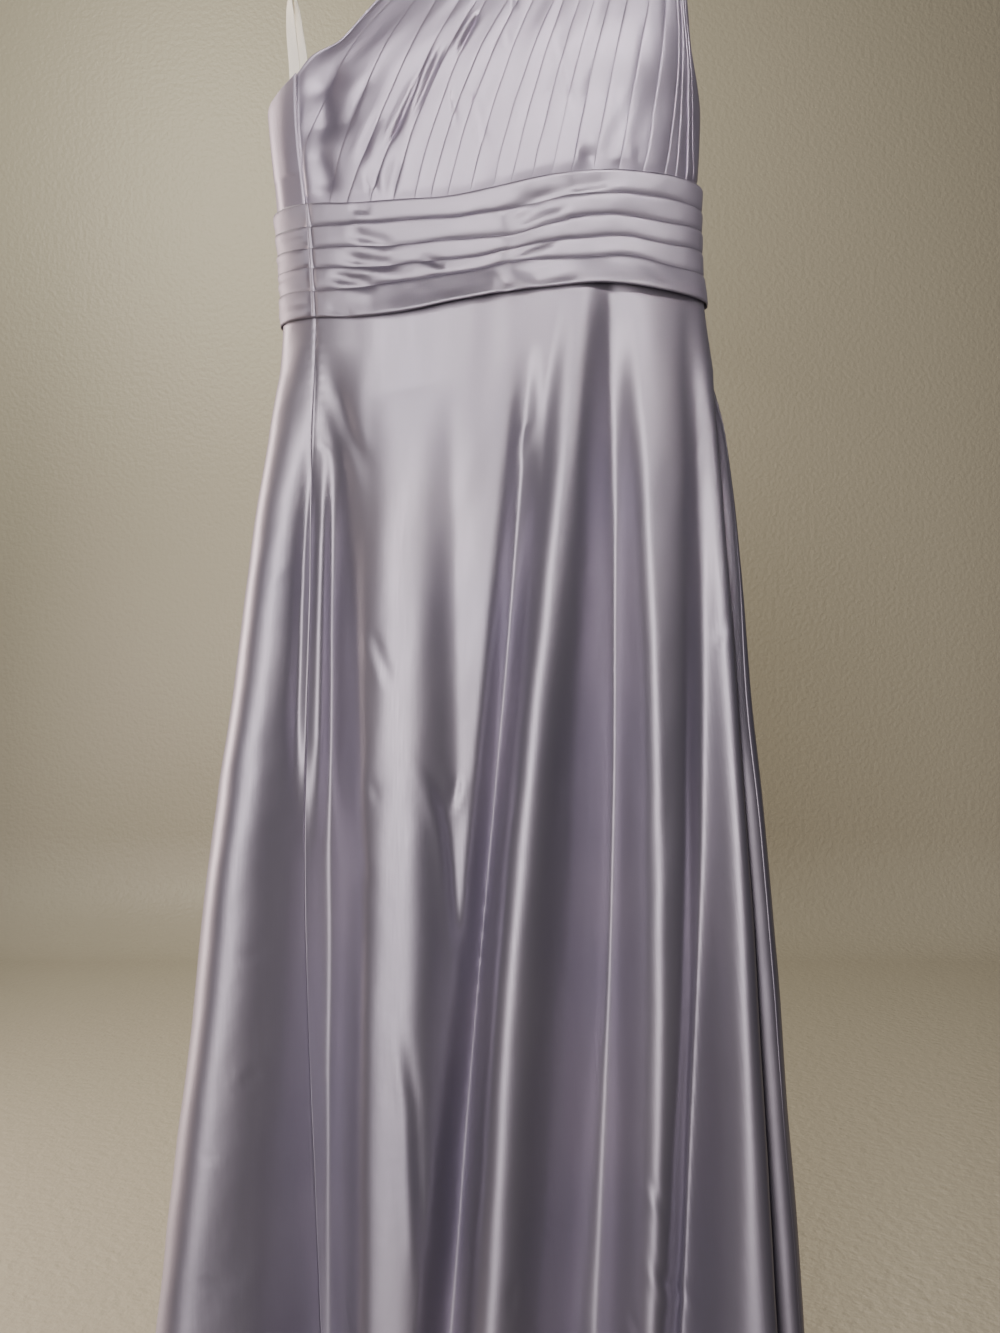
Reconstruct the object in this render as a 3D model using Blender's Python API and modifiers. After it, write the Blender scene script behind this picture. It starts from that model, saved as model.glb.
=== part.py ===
"""One-shoulder formal dress in satin, hanging from a plain dress hanger.

Units are metres. +X is the viewer's right, +Y runs away from the viewer and +Z is up. The origin is the
highest point of the space inside the hanger's hook, where a rail lies.

The dress is cut as its maker would cut it: a knife-pleated front bodice, a plain back bodice, a tucked
waistband in two lengths and an A-line skirt in two panels. Each is a thin wall that follows the rings of
SECTIONS, which run round the dress from its left end, across the front to its right end, and back.
"""

import math

import bmesh
import bpy
import numpy as np
from mathutils import Vector

# Driving dimensions of the cloth.
CLOTH = 0.0015          # thickness of the satin with the layer fused behind it
SEAM_GAP = 0.0003       # distance between two pieces at a seam
LAYER_GAP = 0.001       # distance between two layers that lie on each other
RING_SQUARENESS = 2.4   # 2 is an ellipse, and more flattens the front and the back
BEND_LENGTH = 0.030     # a radian of bend takes as many columns as this length of straight cloth
WAIST_Z = -0.530
HEM_Z = -1.594
SKIRT_UNDER_BAND = 0.035
BODICE_UNDER_BAND = 0.014
RELEASE = 0.010         # height above the band over which the bodice comes forward again

# Rings of the dress, from the underarm down to the hem. "left" and "right" are the ends of the ring along
# X, "front" and "back" its depths from the middle, "seam_x" the X of the left side seam on the front, and
# "seam_ahead" the length of cloth from the right side seam to the ring's right end.
SECTION_COLUMNS = ("z", "left", "right", "front", "back", "seam_x", "seam_ahead")
SECTIONS = (
    (-0.331, -0.156, 0.205, 0.052, 0.037, -0.128, -0.006),
    (-0.385, -0.153, 0.203, 0.051, 0.036, -0.124, -0.006),
    (-0.435, -0.148, 0.202, 0.047, 0.034, -0.120, -0.006),
    (-0.480, -0.145, 0.204, 0.045, 0.033, -0.115, -0.004),
    (WAIST_Z, -0.143, 0.208, 0.046, 0.034, -0.112, 0.002),
    (-0.623, -0.154, 0.227, 0.050, 0.037, -0.116, 0.008),
    (-0.728, -0.171, 0.238, 0.053, 0.040, -0.120, 0.012),
    (-0.837, -0.184, 0.247, 0.056, 0.043, -0.125, 0.016),
    (-0.950, -0.200, 0.259, 0.060, 0.046, -0.129, 0.020),
    (-1.154, -0.221, 0.276, 0.066, 0.051, -0.130, 0.024),
    (-1.368, -0.244, 0.292, 0.072, 0.056, -0.127, 0.026),
    (HEM_Z, -0.266, 0.300, 0.078, 0.062, -0.124, 0.028),
)

# Hanging folds of the skirt. A positive depth is a roll that stands out, a negative one a valley. Each has
# its X at the waist, half-way down and at the hem, the height where it starts, its depth at the hem, half
# its width at the top and at the hem, how far its crest leans towards +X at the hem, and its crease: from 0
# to 1 a sharper and sharper bottom, from 0 to -1 a broader and broader back.
FOLD_COLUMNS = ("side", "x_waist", "x_middle", "x_hem", "start", "depth", "half_top", "half_hem", "lean", "crease")
FOLD_MIDDLE_Z = -0.950
FOLD_GROWTH = 0.8       # below 1 the folds open early, above 1 late
CREASE_ROUNDING = 0.012     # how round the sharp bottoms are
GATHER_SHARE = 0.12     # share of the skirt's height over which its columns even out
FOLDS = (
    ("front", -0.138, -0.176, -0.236, -0.56, 0.030, 0.022, 0.054, 0.000, 0.0),
    ("front", -0.100, -0.112, -0.126, -0.54, -0.078, 0.030, 0.072, 0.012, 0.4),
    ("front", -0.034, -0.042, -0.050, -0.58, 0.036, 0.036, 0.066, 0.000, -0.8),
    ("front", 0.064, 0.032, -0.026, -0.56, -0.050, 0.014, 0.030, 0.000, 0.6),
    ("front", 0.108, 0.068, 0.036, -0.51, 0.056, 0.024, 0.058, -0.020, -0.3),
    ("front", 0.128, 0.129, 0.098, -0.49, -0.058, 0.022, 0.050, 0.010, 0.6),
    ("front", 0.170, 0.164, 0.118, -0.52, 0.036, 0.032, 0.056, 0.000, -0.8),
    ("front", 0.196, 0.200, 0.176, -0.56, -0.030, 0.012, 0.034, 0.000, 0.4),
    ("front", 0.204, 0.216, 0.236, -0.49, 0.042, 0.018, 0.042, 0.010, 0.0),
    ("front", 0.214, 0.240, 0.272, -0.50, -0.034, 0.012, 0.030, 0.000, 0.0),
    ("back", 0.176, 0.196, 0.232, -0.56, 0.030, 0.030, 0.060, 0.016, 0.0),
    ("back", 0.120, 0.136, 0.162, -0.55, -0.040, 0.024, 0.044, 0.000, 0.6),
    ("back", 0.076, 0.078, 0.086, -0.60, 0.036, 0.030, 0.060, -0.020, 0.0),
    ("back", 0.030, 0.022, 0.012, -0.58, -0.042, 0.026, 0.046, 0.000, 0.6),
    ("back", -0.022, -0.040, -0.056, -0.62, 0.036, 0.030, 0.062, 0.022, 0.0),
    ("back", -0.070, -0.096, -0.124, -0.57, -0.036, 0.024, 0.044, 0.000, 0.6),
    ("back", -0.112, -0.150, -0.194, -0.60, 0.028, 0.026, 0.052, 0.000, 0.0),
)

# Edges of the waistband across the front: its upper edge, its lower edge, and how far the lower edge
# stands off the skirt. The back runs straight from one end of the front to the other.
BAND_COLUMNS = ("x", "upper", "lower", "flare")
BAND_EDGES = (
    (-0.151, -0.437, -0.531, 0.000),
    (-0.120, -0.436, -0.530, 0.000),
    (-0.080, -0.439, -0.533, 0.002),
    (-0.040, -0.438, -0.531, 0.006),
    (0.000, -0.436, -0.523, 0.008),
    (0.040, -0.428, -0.516, 0.007),
    (0.080, -0.419, -0.510, 0.003),
    (0.115, -0.414, -0.507, 0.005),
    (0.165, -0.413, -0.510, 0.006),
    (0.207, -0.415, -0.513, 0.002),
)
TUCK_STARTS = (0.0, 0.17, 0.37, 0.545, 0.73)   # shares of the band's height where its five tucks begin
TUCK_PROUD = 0.0048     # how far a tuck's upper fold stands out from the band's inside
TUCK_THIN = 0.0018      # what is left of that where the next tuck covers it
TUCK_SHOULDER = (0.45, 0.6)     # share down a tuck, and share of its relief that is left there
TUCK_CREASE = 0.008     # share of the band's height taken by the crease above a fold
BAND_HEM = 0.7          # share of the relief along the band's lower edge
FLARE_START = 0.6       # share down the band where its lower edge starts to stand off the skirt

# Bodice. The shoulder lies on the hanger's right arm, and its seam slopes with it.
PLEATS = 22
PLEAT_RISE = 0.0024
PLEAT_UNEVEN = ((0.22, 2.3), (0.12, 5.1))   # how far, and how fast, the pleats' widths vary
PLEAT_STEP = 0.12       # share of a pleat's width taken by the turn under its fold
PLEAT_STEEPEST = 0.4    # rise of a pleat in its own widths, where the pleats crowd together
PLEAT_SWEEP = 1.25      # above 1 the pleats lean to the right on their way up to the underarm
PLEAT_CROWD = (1.3, 2.0)    # powers that crowd the pleats towards the armhole end of the shoulder
PLEAT_EVEN = 0.3        # share of even spacing that is kept there
SIDE_REACH = 1.6        # above 1 the neckline and the armhole bend only the pleats beside them
SHOULDER_INNER = (0.070, -0.1274)   # X and Z of the seam's neck end
SHOULDER_OUTER = (0.186, -0.1651)   # and of its armhole end
SHOULDER_WRAP = ((0.0078, 0.0066), (0.0054, 0.0017))    # out from the seam and below it, over the arm
UNDERARM_RIGHT_Z = -0.347
UNDERARM_LEFT_Z = -0.331
UNDERARM_RUN = 0.300    # width over which the height of the underarm passes from one to the other

# Edges of the bodice, as points from the side seam up to the shoulder, or down from it.
NECKLINE_FRONT = (
    (-0.115, -0.039, -0.319),
    (-0.091, -0.043, -0.308),
    (-0.078, -0.044, -0.295),
    (-0.060, -0.044, -0.275),
    (0.013, -0.033, -0.207),
)
ARMHOLE_FRONT = (
    (0.198, -0.014, -0.331),
    (0.192, -0.024, -0.311),
    (0.190, -0.026, -0.280),
    (0.190, -0.019, -0.215),
)
NECKLINE_BACK = (
    (0.020, 0.031, -0.200),
    (-0.050, 0.038, -0.268),
    (-0.105, 0.036, -0.322),
    (-0.140, 0.024, -0.343),
    (-0.1555, 0.000, -0.347),
    (-0.143, -0.021, -0.340),
)
ARMHOLE_BACK = (
    (0.199, 0.016, -0.331),
    (0.193, 0.024, -0.308),
    (0.189, 0.026, -0.275),
    (0.189, 0.019, -0.215),
)
SHOULDER_SHARE = 0.28   # share of the back bodice's width that ends on the shoulder seam
SHOULDER_STEP = 0.004   # and the share over which the neckline drops from the seam
BACK_LEVELS = (0.0, 0.07, 0.25, 0.42, 0.56, 0.68, 0.79, 0.90, 1.0)  # its rows, as shares of its height
ARMHOLE_FADE = 0.3      # share of its width that bends with the armhole
UNDERARM_NEAR = 0.004   # a column that ends less than this above the underarm leans in all the way up
NECK_ROW = 0.0015       # height of the two rows along its neckline
NECK_STRAP = 0.1        # share of the neckline, beside the strap, that stands higher

# Hanger: two sloping arms cut from one board with rounded edges, a notch near each end and a wire hook.
ARM_SLOPE = math.radians(18)
ARM_REACH = 0.210
ARM_THICKNESS = 0.009
ARM_HEIGHT_MIDDLE = 0.024
ARM_HEIGHT_END = 0.014
ARM_TOP_Z = -0.1074     # where the two top edges would meet over the middle
ARM_ROUNDING = 0.0030
NOTCH_X = 0.147
NOTCH_WIDTH = 0.022
NOTCH_DEPTH = 0.004
NOTCH_RAMP = 0.005
NOTCH_SLACK = 0.0014    # from the notch's floor to the middle of the ribbon
HOOK_WIRE = 0.0018      # radius
HOOK_RADIUS = 0.022     # of the space inside the hook
HOOK_START = math.radians(-50)
HOOK_TURN = math.radians(215)
HOOK_ARC_POINTS = 19
HOOK_STEM = ((0.0, -0.090), (0.001, -0.070), (0.005, -0.056))   # X and Z of the wire above the socket
HOOK_SOCKET = 0.012     # how deep the wire goes into the hanger

# Ribbon loop that holds the open side up: it runs from the left side seam over the notch and back.
RIBBON_WIDTH = 0.010
RIBBON_THICKNESS = 0.001
RIBBON_SPREAD = 0.0036  # how far each strand lies to its own side
RIBBON_LAYER = 0.0014   # how far the back strand lies behind the front one where both are sewn in
RIBBON_SEWN = 0.012     # length sewn inside the underarm
RIBBON_INSIDE = 0.0023  # how far its middle lies inside the seam, where the wall bends round it
RIBBON_CLEAR = 0.0012   # from the hanger's face to the middle of the ribbon
RIBBON_FIRST_RISE = 0.004   # height over the seam where it starts to lean towards the notch

# The strands' way up, as shares of the way from the seam to the notch: in height, and in depth.
RIBBON_CLIMB = ((0.25, 0.25), (0.5, 0.5), (0.75, 0.78), (0.90, 1.02))

# The bend over the notch: Y as a share of the way to either strand, and the drop from the top.
RIBBON_BEND = ((-1.0, -0.0050), (-0.72, -0.0014), (0.0, 0.0), (0.72, -0.0014), (1.0, -0.0050))

# Mesh sizes.
SKIRT_FRONT_COLUMNS = 60
SKIRT_BACK_COLUMNS = 46
SKIRT_ROWS = 15
ROW_CROWD = 1.15        # above 1 the skirt's rows crowd towards the waist
BAND_FRONT_COLUMNS = 30
BAND_BACK_COLUMNS = 26
BACK_COLUMNS = 24

# Colours as linear red, green and blue.
SATIN_SKIRT = (0.43, 0.39, 0.45)
SATIN_BODICE = (0.52, 0.49, 0.54)
SATIN_BAND = (0.40, 0.38, 0.42)
RIBBON_WHITE = (0.93, 0.90, 0.80)
HANGER_WHITE = (0.80, 0.80, 0.78)
WIRE_STEEL = (0.60, 0.60, 0.61)


def columns_of(table, names):
    """The table's columns by name, as arrays."""
    return {name: np.array([row[i] for row in table]) for i, name in enumerate(names)}


def smooth(at, knots, values):
    """A smooth curve through (knots, values), read at every number of at. Cubic Hermite pieces."""
    order = np.argsort(knots)
    knots = np.asarray(knots, float)[order]
    values = np.asarray(values, float)[order]
    slopes = np.gradient(values, knots)
    at = np.clip(at, knots[0], knots[-1])
    piece = np.clip(np.searchsorted(knots, at) - 1, 0, len(knots) - 2)
    span = knots[piece + 1] - knots[piece]
    t = (at - knots[piece]) / span
    return (
        values[piece] * (1 + 2 * t) * (1 - t) ** 2
        + values[piece + 1] * t ** 2 * (3 - 2 * t)
        + slopes[piece] * span * t * (1 - t) ** 2
        - slopes[piece + 1] * span * t ** 2 * (1 - t)
    )


def path_through(points, shares):
    """The places at these shares of a smooth path through the points."""
    points = np.asarray(points, float)
    run = np.concatenate([[0], np.cumsum(np.linalg.norm(np.diff(points, axis=0), axis=1))])
    return np.stack([smooth(shares * run[-1], run, points[:, i]) for i in range(3)], axis=-1)


SECTION = columns_of(SECTIONS, SECTION_COLUMNS)
BAND = columns_of(BAND_EDGES, BAND_COLUMNS)


def section(name, z):
    return smooth(z, SECTION["z"], SECTION[name])


def signed_power(value, power):
    return np.sign(value) * np.abs(value) ** power


def ring_point(z, angle, out=0.0):
    """Places on the ring at height z, moved out by this much. The angle is 0 at the left end, a quarter
    turn at the front, half a turn at the right end and three quarters at the back."""
    z, angle, out = np.broadcast_arrays(z, angle, out)
    left, right = section("left", z), section("right", z)
    middle, half = (left + right) / 2, (right - left) / 2
    depth = np.where(np.sin(angle) > 0, section("front", z), section("back", z))
    across = signed_power(-np.cos(angle), 2 / RING_SQUARENESS)
    deep = signed_power(-np.sin(angle), 2 / RING_SQUARENESS)
    facing = np.stack(
        [
            signed_power(across, RING_SQUARENESS - 1) / half,
            signed_power(deep, RING_SQUARENESS - 1) / depth,
        ],
        axis=-1,
    )
    facing /= np.linalg.norm(facing, axis=-1, keepdims=True)
    return np.stack(
        [middle + half * across + facing[..., 0] * out, depth * deep + facing[..., 1] * out, z], axis=-1
    )


def ring_measure(z):
    """Angles round the ring at height z, and the length of cloth from its left end to each."""
    angles = np.linspace(0, 2 * math.pi, 1441)
    points = ring_point(z, angles)
    steps = np.linalg.norm(np.diff(points, axis=0), axis=1)
    return angles, np.concatenate([[0], np.cumsum(steps)])


def spaced_angles(z, first, last, shares):
    """Angles at these shares of the way from first to last, closer together where the ring bends, so
    that every chord stays near it."""
    angles = np.linspace(0, 4 * math.pi, 2881)
    points = ring_point(z, angles)
    out = ring_point(z, angles, 1.0) - points
    run = np.concatenate([[0], np.cumsum(np.linalg.norm(np.diff(points, axis=0), axis=1))])
    turned = np.unwrap(np.arctan2(out[:, 1], out[:, 0]))
    measure = run + BEND_LENGTH * np.abs(turned - turned[0])
    ends = np.interp([first, last], angles, measure)
    return np.interp(ends[0] + (ends[1] - ends[0]) * np.asarray(shares), measure, angles)


def angle_at_x(z, x, side="front"):
    """The angle where the ring at height z crosses this X, on the front or on the back."""
    left, right = section("left", z), section("right", z)
    share = np.clip((x - (left + right) / 2) / ((right - left) / 2), -1, 1)
    angle = np.arccos(-signed_power(share, RING_SQUARENESS / 2))
    return angle if side == "front" else 2 * math.pi - angle


def seam_angles(z):
    """The angles of the left and of the right side seam at height z."""
    angles, run = ring_measure(z)
    end = run[len(run) // 2] - section("seam_ahead", z)
    return float(angle_at_x(z, section("seam_x", z))), float(np.interp(end, run, angles))


def band_edge(name, x, angle):
    """The waistband's upper or lower edge, or its flare, at this X."""
    front = smooth(x, BAND["x"], BAND[name])
    first, last = BAND[name][0], BAND[name][-1]
    share = np.clip((x - BAND["x"][0]) / (BAND["x"][-1] - BAND["x"][0]), 0, 1)
    return np.where(np.sin(angle) >= 0, front, first + (last - first) * share)


def bump(distance):
    """1 in the middle, falling softly to 0 at a distance of 1 and beyond."""
    return np.where(np.abs(distance) < 1, (1 + np.cos(math.pi * distance)) / 2, 0.0)


def fold_section(distance, crease):
    """How far out a fold stands at this distance from its middle, as shares of its depth and its half
    width. It blends a round fold with one that has a sharp bottom, or with one that has a broad back."""
    plain = bump(distance)
    sharp = np.clip(1 - np.sqrt(distance ** 2 + CREASE_ROUNDING), 0, 1) ** 2
    other = sharp if crease > 0 else 1 - (1 - plain) ** 2
    return (1 - abs(crease)) * plain + abs(crease) * other


def fold_shape(z, along):
    """How far the folds at height z move the cloth out, and how far along the ring."""
    angles, run = ring_measure(z)
    out = np.zeros_like(along)
    shift = np.zeros_like(along)
    for row in FOLDS:
        fold = dict(zip(FOLD_COLUMNS, row))
        grown = float(np.clip((fold["start"] - z) / (fold["start"] - HEM_Z), 0, 1)) ** FOLD_GROWTH
        places = [fold["x_waist"], fold["x_middle"], fold["x_hem"]]
        x = smooth(z, [WAIST_Z, FOLD_MIDDLE_Z, HEM_Z], places)
        centre = np.interp(angle_at_x(z, x, fold["side"]), angles, run)
        half = fold["half_top"] + (fold["half_hem"] - fold["half_top"]) * grown
        away = (along - centre + run[-1] / 2) % run[-1] - run[-1] / 2
        raised = fold_section(away / half, fold["crease"]) * grown
        turned = 1 if fold["side"] == "front" else -1
        out += raised * fold["depth"]
        shift += raised * fold["lean"] * turned
    return out, shift


def facing_out(grid, closed=False, rising=False):
    """Unit normals of a grid of points that face out of the dress. Its columns run round the dress, and
    its rows fall, or rise where that is said."""
    down = np.gradient(grid, axis=0) * (-1 if rising else 1)
    if closed:
        along = np.roll(grid, -1, axis=1) - np.roll(grid, 1, axis=1)
    else:
        along = np.gradient(grid, axis=1)
    normal = np.cross(along, -down)
    return normal / np.linalg.norm(normal, axis=-1, keepdims=True)


def material(name, colour, roughness, metallic=0.0):
    made = bpy.data.materials.new(name)
    made.use_nodes = True
    shader = made.node_tree.nodes["Principled BSDF"]
    shader.inputs["Base Color"].default_value = (*colour, 1)
    shader.inputs["Roughness"].default_value = roughness
    shader.inputs["Metallic"].default_value = metallic
    return made


def keep(obj, collection, finish):
    """Puts the object into the collection with its material, shaded smooth but for its sharp edges."""
    for other in list(obj.users_collection):
        other.objects.unlink(obj)
    collection.objects.link(obj)
    obj.data.materials.clear()
    obj.data.materials.append(finish)
    if obj.type == "MESH":
        obj.data.shade_smooth()
        obj.data.set_sharp_from_angle(angle=math.radians(40))
    return obj


def wall(name, outer, inner, collection, finish):
    """A closed wall between two grids of the same size. Both are cut along the same diagonals, so the
    wall keeps its thickness where it twists."""
    rows, columns = outer.shape[:2]
    index = np.arange(rows * columns).reshape(rows, columns)
    a, b = index[:-1, :-1].ravel(), index[:-1, 1:].ravel()
    c, d = index[1:, 1:].ravel(), index[1:, :-1].ravel()
    front = np.concatenate([np.stack([a, d, c], 1), np.stack([a, c, b], 1)])
    back = front[:, ::-1] + rows * columns
    rim = np.concatenate([index[:, 0], index[-1, 1:], index[-2::-1, -1], index[0, -2:0:-1]])
    after = np.roll(rim, -1)
    below, below_after = rim + rows * columns, after + rows * columns
    edge = np.concatenate([np.stack([after, rim, below], 1), np.stack([after, below, below_after], 1)])
    mesh = bpy.data.meshes.new(name)
    points = np.concatenate([outer.reshape(-1, 3), inner.reshape(-1, 3)])
    mesh.from_pydata(points.tolist(), [], np.concatenate([front, back, edge]).tolist())
    shape = bmesh.new()
    shape.from_mesh(mesh)
    bmesh.ops.recalc_face_normals(shape, faces=shape.faces)
    shape.to_mesh(mesh)
    shape.free()
    return keep(bpy.data.objects.new(name, mesh), collection, finish)


def part_at_seams(outer, inner):
    """Moves the first and the last column of a panel half a seam's gap into the panel."""
    for edge, beside in ((0, 1), (-1, -2)):
        step = outer[:, beside] - outer[:, edge]
        step *= SEAM_GAP / 2 / np.linalg.norm(step, axis=-1, keepdims=True)
        outer[:, edge] += step
        inner[:, edge] += step
    return outer, inner


def even_shares(count):
    return np.linspace(0, 1, count + 1)


def spread(first, last, count):
    return first + (last - first) * even_shares(count)


def skirt_rings():
    """The skirt as one closed grid: the front panel's columns, then the back panel's."""
    rows = []
    left, right = seam_angles(WAIST_Z)
    top_angles = np.concatenate(
        [
            spaced_angles(WAIST_Z, left, right, even_shares(SKIRT_FRONT_COLUMNS))[:-1],
            spaced_angles(WAIST_Z, right, 2 * math.pi + left, even_shares(SKIRT_BACK_COLUMNS))[:-1],
        ]
    )
    top_x = ring_point(WAIST_Z, top_angles)[:, 0]
    edge_z = band_edge("lower", top_x, top_angles)
    shares = np.linspace(0, 1, SKIRT_ROWS - 1) ** ROW_CROWD
    heights = [edge_z + SKIRT_UNDER_BAND] + [edge_z + (HEM_Z - edge_z) * share for share in shares]
    for z, share in zip(heights, [0, *shares]):
        level = float(z.mean())
        angles, run = ring_measure(level)
        left, right = np.interp(seam_angles(level), angles, run)
        even = np.concatenate(
            [
                spread(left, right, SKIRT_FRONT_COLUMNS)[:-1],
                spread(right, run[-1] + left, SKIRT_BACK_COLUMNS)[:-1],
            ]
        )
        top = np.interp(top_angles % (2 * math.pi), angles, run) + run[-1] * (top_angles >= 2 * math.pi)
        gathered = np.clip(share / GATHER_SHARE, 0, 1)
        along = top + (even - top) * gathered
        out, shift = fold_shape(level, along % run[-1])
        turned = np.interp((along + shift) % run[-1], run, angles)
        rows.append(ring_point(z, turned, out))
    return np.array(rows)


def make_skirt(collection):
    finish = material("satin_skirt", SATIN_SKIRT, 0.42)
    outer = skirt_rings()
    inner = outer - facing_out(outer, closed=True) * CLOTH
    front = np.arange(SKIRT_FRONT_COLUMNS + 1)
    back = np.arange(SKIRT_FRONT_COLUMNS, SKIRT_FRONT_COLUMNS + SKIRT_BACK_COLUMNS + 1)
    back %= SKIRT_FRONT_COLUMNS + SKIRT_BACK_COLUMNS
    wall("skirt_front", *part_at_seams(outer[:, front], inner[:, front]), collection, finish)
    wall("skirt_back", *part_at_seams(outer[:, back], inner[:, back]), collection, finish)


def band_profile():
    """Shares of the band's height, top to bottom, and how far out the tucks stand there. Each tuck's
    upper fold stands proud of the tuck above it."""
    shares, proud = [], []
    ends = TUCK_STARTS[1:] + (1.0,)
    down, left_over = TUCK_SHOULDER
    for start, end in zip(TUCK_STARTS, ends):
        shares += [start, start + (end - start) * down, end - TUCK_CREASE]
        proud += [TUCK_PROUD, TUCK_THIN + (TUCK_PROUD - TUCK_THIN) * left_over, TUCK_THIN]
    shares[-1] = 1.0
    proud[-1] = TUCK_PROUD * BAND_HEM
    return np.array(shares), np.array(proud)


def make_band(collection):
    finish = material("satin_band", SATIN_BAND, 0.38)
    shares, proud = band_profile()
    level = float(np.mean(BAND["upper"] + BAND["lower"]) / 2)
    left, right = seam_angles(level)
    for name, first, last, count in (
        ("waistband_front", left, right, BAND_FRONT_COLUMNS),
        ("waistband_back", right, 2 * math.pi + left, BAND_BACK_COLUMNS),
    ):
        angle = spaced_angles(level, first, last, even_shares(count))[None, :]
        x = ring_point(level, angle)[..., 0]
        upper, lower = band_edge("upper", x, angle), band_edge("lower", x, angle)
        z = upper + (lower - upper) * shares[:, None]
        flared = np.clip((shares[:, None] - FLARE_START) / (1 - FLARE_START), 0, 1) ** 2
        flare = band_edge("flare", x, angle) * flared
        outer = ring_point(z, angle, LAYER_GAP + proud[:, None] + flare)
        inner = ring_point(z, angle, LAYER_GAP + flare)
        wall(name, *part_at_seams(outer, inner), collection, finish)


def shoulder_line(shares, side):
    """The strap just below the shoulder seam, from its neck end to its armhole end. side is -1 in front."""
    out, below = SHOULDER_WRAP[0]
    inner, outer = np.array(SHOULDER_INNER), np.array(SHOULDER_OUTER)
    xz = inner + (outer - inner) * np.asarray(shares)[:, None]
    return np.stack([xz[:, 0], np.full(len(xz), side * out), xz[:, 1] - below], axis=-1)


def wrap_over_arm(strap, side):
    """The rows that carry the strap up over the hanger's arm to the seam."""
    out, below = SHOULDER_WRAP[0]
    seam = strap + np.array([0, -side * out, below])
    over = seam + np.array([0, side * SHOULDER_WRAP[1][0], -SHOULDER_WRAP[1][1]])
    return np.array([over, seam + np.array([0, side * SEAM_GAP / 2, 0])])


def pleat_columns():
    """Shares across the front bodice and the pleats' height at each. A pleat's fold faces left, and the
    last pleat runs flat into the side seam."""
    widths = 1 + sum(size * np.sin(rate * np.arange(PLEATS)) for size, rate in PLEAT_UNEVEN)
    edges = np.concatenate([[0], np.cumsum(widths)]) / widths.sum()
    shares = np.stack([edges[:-1], edges[1:] - PLEAT_STEP * np.diff(edges)], axis=1).ravel()
    shares[-1] = 1.0
    height = np.tile([1.0, 0.0], PLEATS)
    height[0] = 0
    return shares, height


def bodice_ring_rows(first, last, shares, heights, sweep=1.0):
    """Rows from under the band up to the underarm, drawn in where the band covers them."""
    rows = []
    for height in heights:
        swept = shares ** (sweep + (1 - sweep) * height)
        angle = spaced_angles(UNDERARM_RIGHT_Z, first, last, swept)
        x = ring_point(UNDERARM_RIGHT_Z, angle)[:, 0]
        bottom = band_edge("upper", x, angle) - BODICE_UNDER_BAND
        across = np.clip((x - SECTION["seam_x"][0]) / UNDERARM_RUN, 0, 1)
        top = UNDERARM_LEFT_Z + (UNDERARM_RIGHT_Z - UNDERARM_LEFT_Z) * across
        z = bottom + (top - bottom) * height
        covered = np.clip((bottom + BODICE_UNDER_BAND + RELEASE - z) / RELEASE, 0, 1)
        rows.append(ring_point(z, angle, -(PLEAT_RISE + LAYER_GAP / 2) * covered))
    return np.array(rows)


def seam_facing(angle):
    """The ring's own normal at a side seam, shared by the two panels that meet there."""
    here, out = ring_point(UNDERARM_RIGHT_Z, angle), ring_point(UNDERARM_RIGHT_Z, angle, 1.0)
    return out - here


def shoulder_facing():
    run = np.array(SHOULDER_OUTER) - np.array(SHOULDER_INNER)
    across = np.array([-run[1], 0, run[0]])
    return across / np.linalg.norm(across)


def make_bodice_front(collection, finish):
    left, right = seam_angles(UNDERARM_RIGHT_Z)
    shares, height = pleat_columns()
    lower = bodice_ring_rows(left, right, shares, (0, 0.15, 0.25, 0.6, 1.0), PLEAT_SWEEP)
    levels = np.array([0.14, 0.28, 0.42, 0.56, 0.70, 0.85, 1.0])
    early, crowd = PLEAT_CROWD
    crowded = 1 - (1 - shares ** early) ** crowd
    strap = shoulder_line(crowded + (shares - crowded) * PLEAT_EVEN, -1)
    neck = path_through([lower[-1, 0], *NECKLINE_FRONT, strap[0]], levels)
    arm = path_through([lower[-1, -1], *ARMHOLE_FRONT, strap[-1]], levels)
    u, v = shares[None, :, None], levels[:, None, None]
    upper = (1 - v) * lower[-1] + v * strap
    upper += (1 - u) ** SIDE_REACH * (neck[:, None] - upper[:, :1])
    upper += u ** SIDE_REACH * (arm[:, None] - upper[:, -1:])
    plain = np.concatenate([lower, upper, wrap_over_arm(strap, -1)])
    normal = facing_out(plain, rising=True)
    # The two edges of a turn under a fold share a facing, so that the turn keeps its width on the inside.
    turn = normal[:, 1:-1:2] + normal[:, 2:-1:2]
    turn /= np.linalg.norm(turn, axis=-1, keepdims=True)
    normal[:, 1:-1:2] = normal[:, 2:-1:2] = turn
    normal[: len(lower), 0] = seam_facing(left)
    normal[: len(lower), -1] = seam_facing(right)
    normal[-1] = shoulder_facing()
    width = np.linalg.norm(np.gradient(plain[:, ::2], axis=1), axis=-1).repeat(2, axis=1)
    rise = np.minimum(PLEAT_RISE, PLEAT_STEEPEST * width)
    rise[-2:] *= np.array([[0.5], [0.0]])
    outer = plain + normal * (rise * height)[..., None]
    wall("bodice_front", *part_at_seams(outer, plain - normal * CLOTH), collection, finish)


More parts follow.
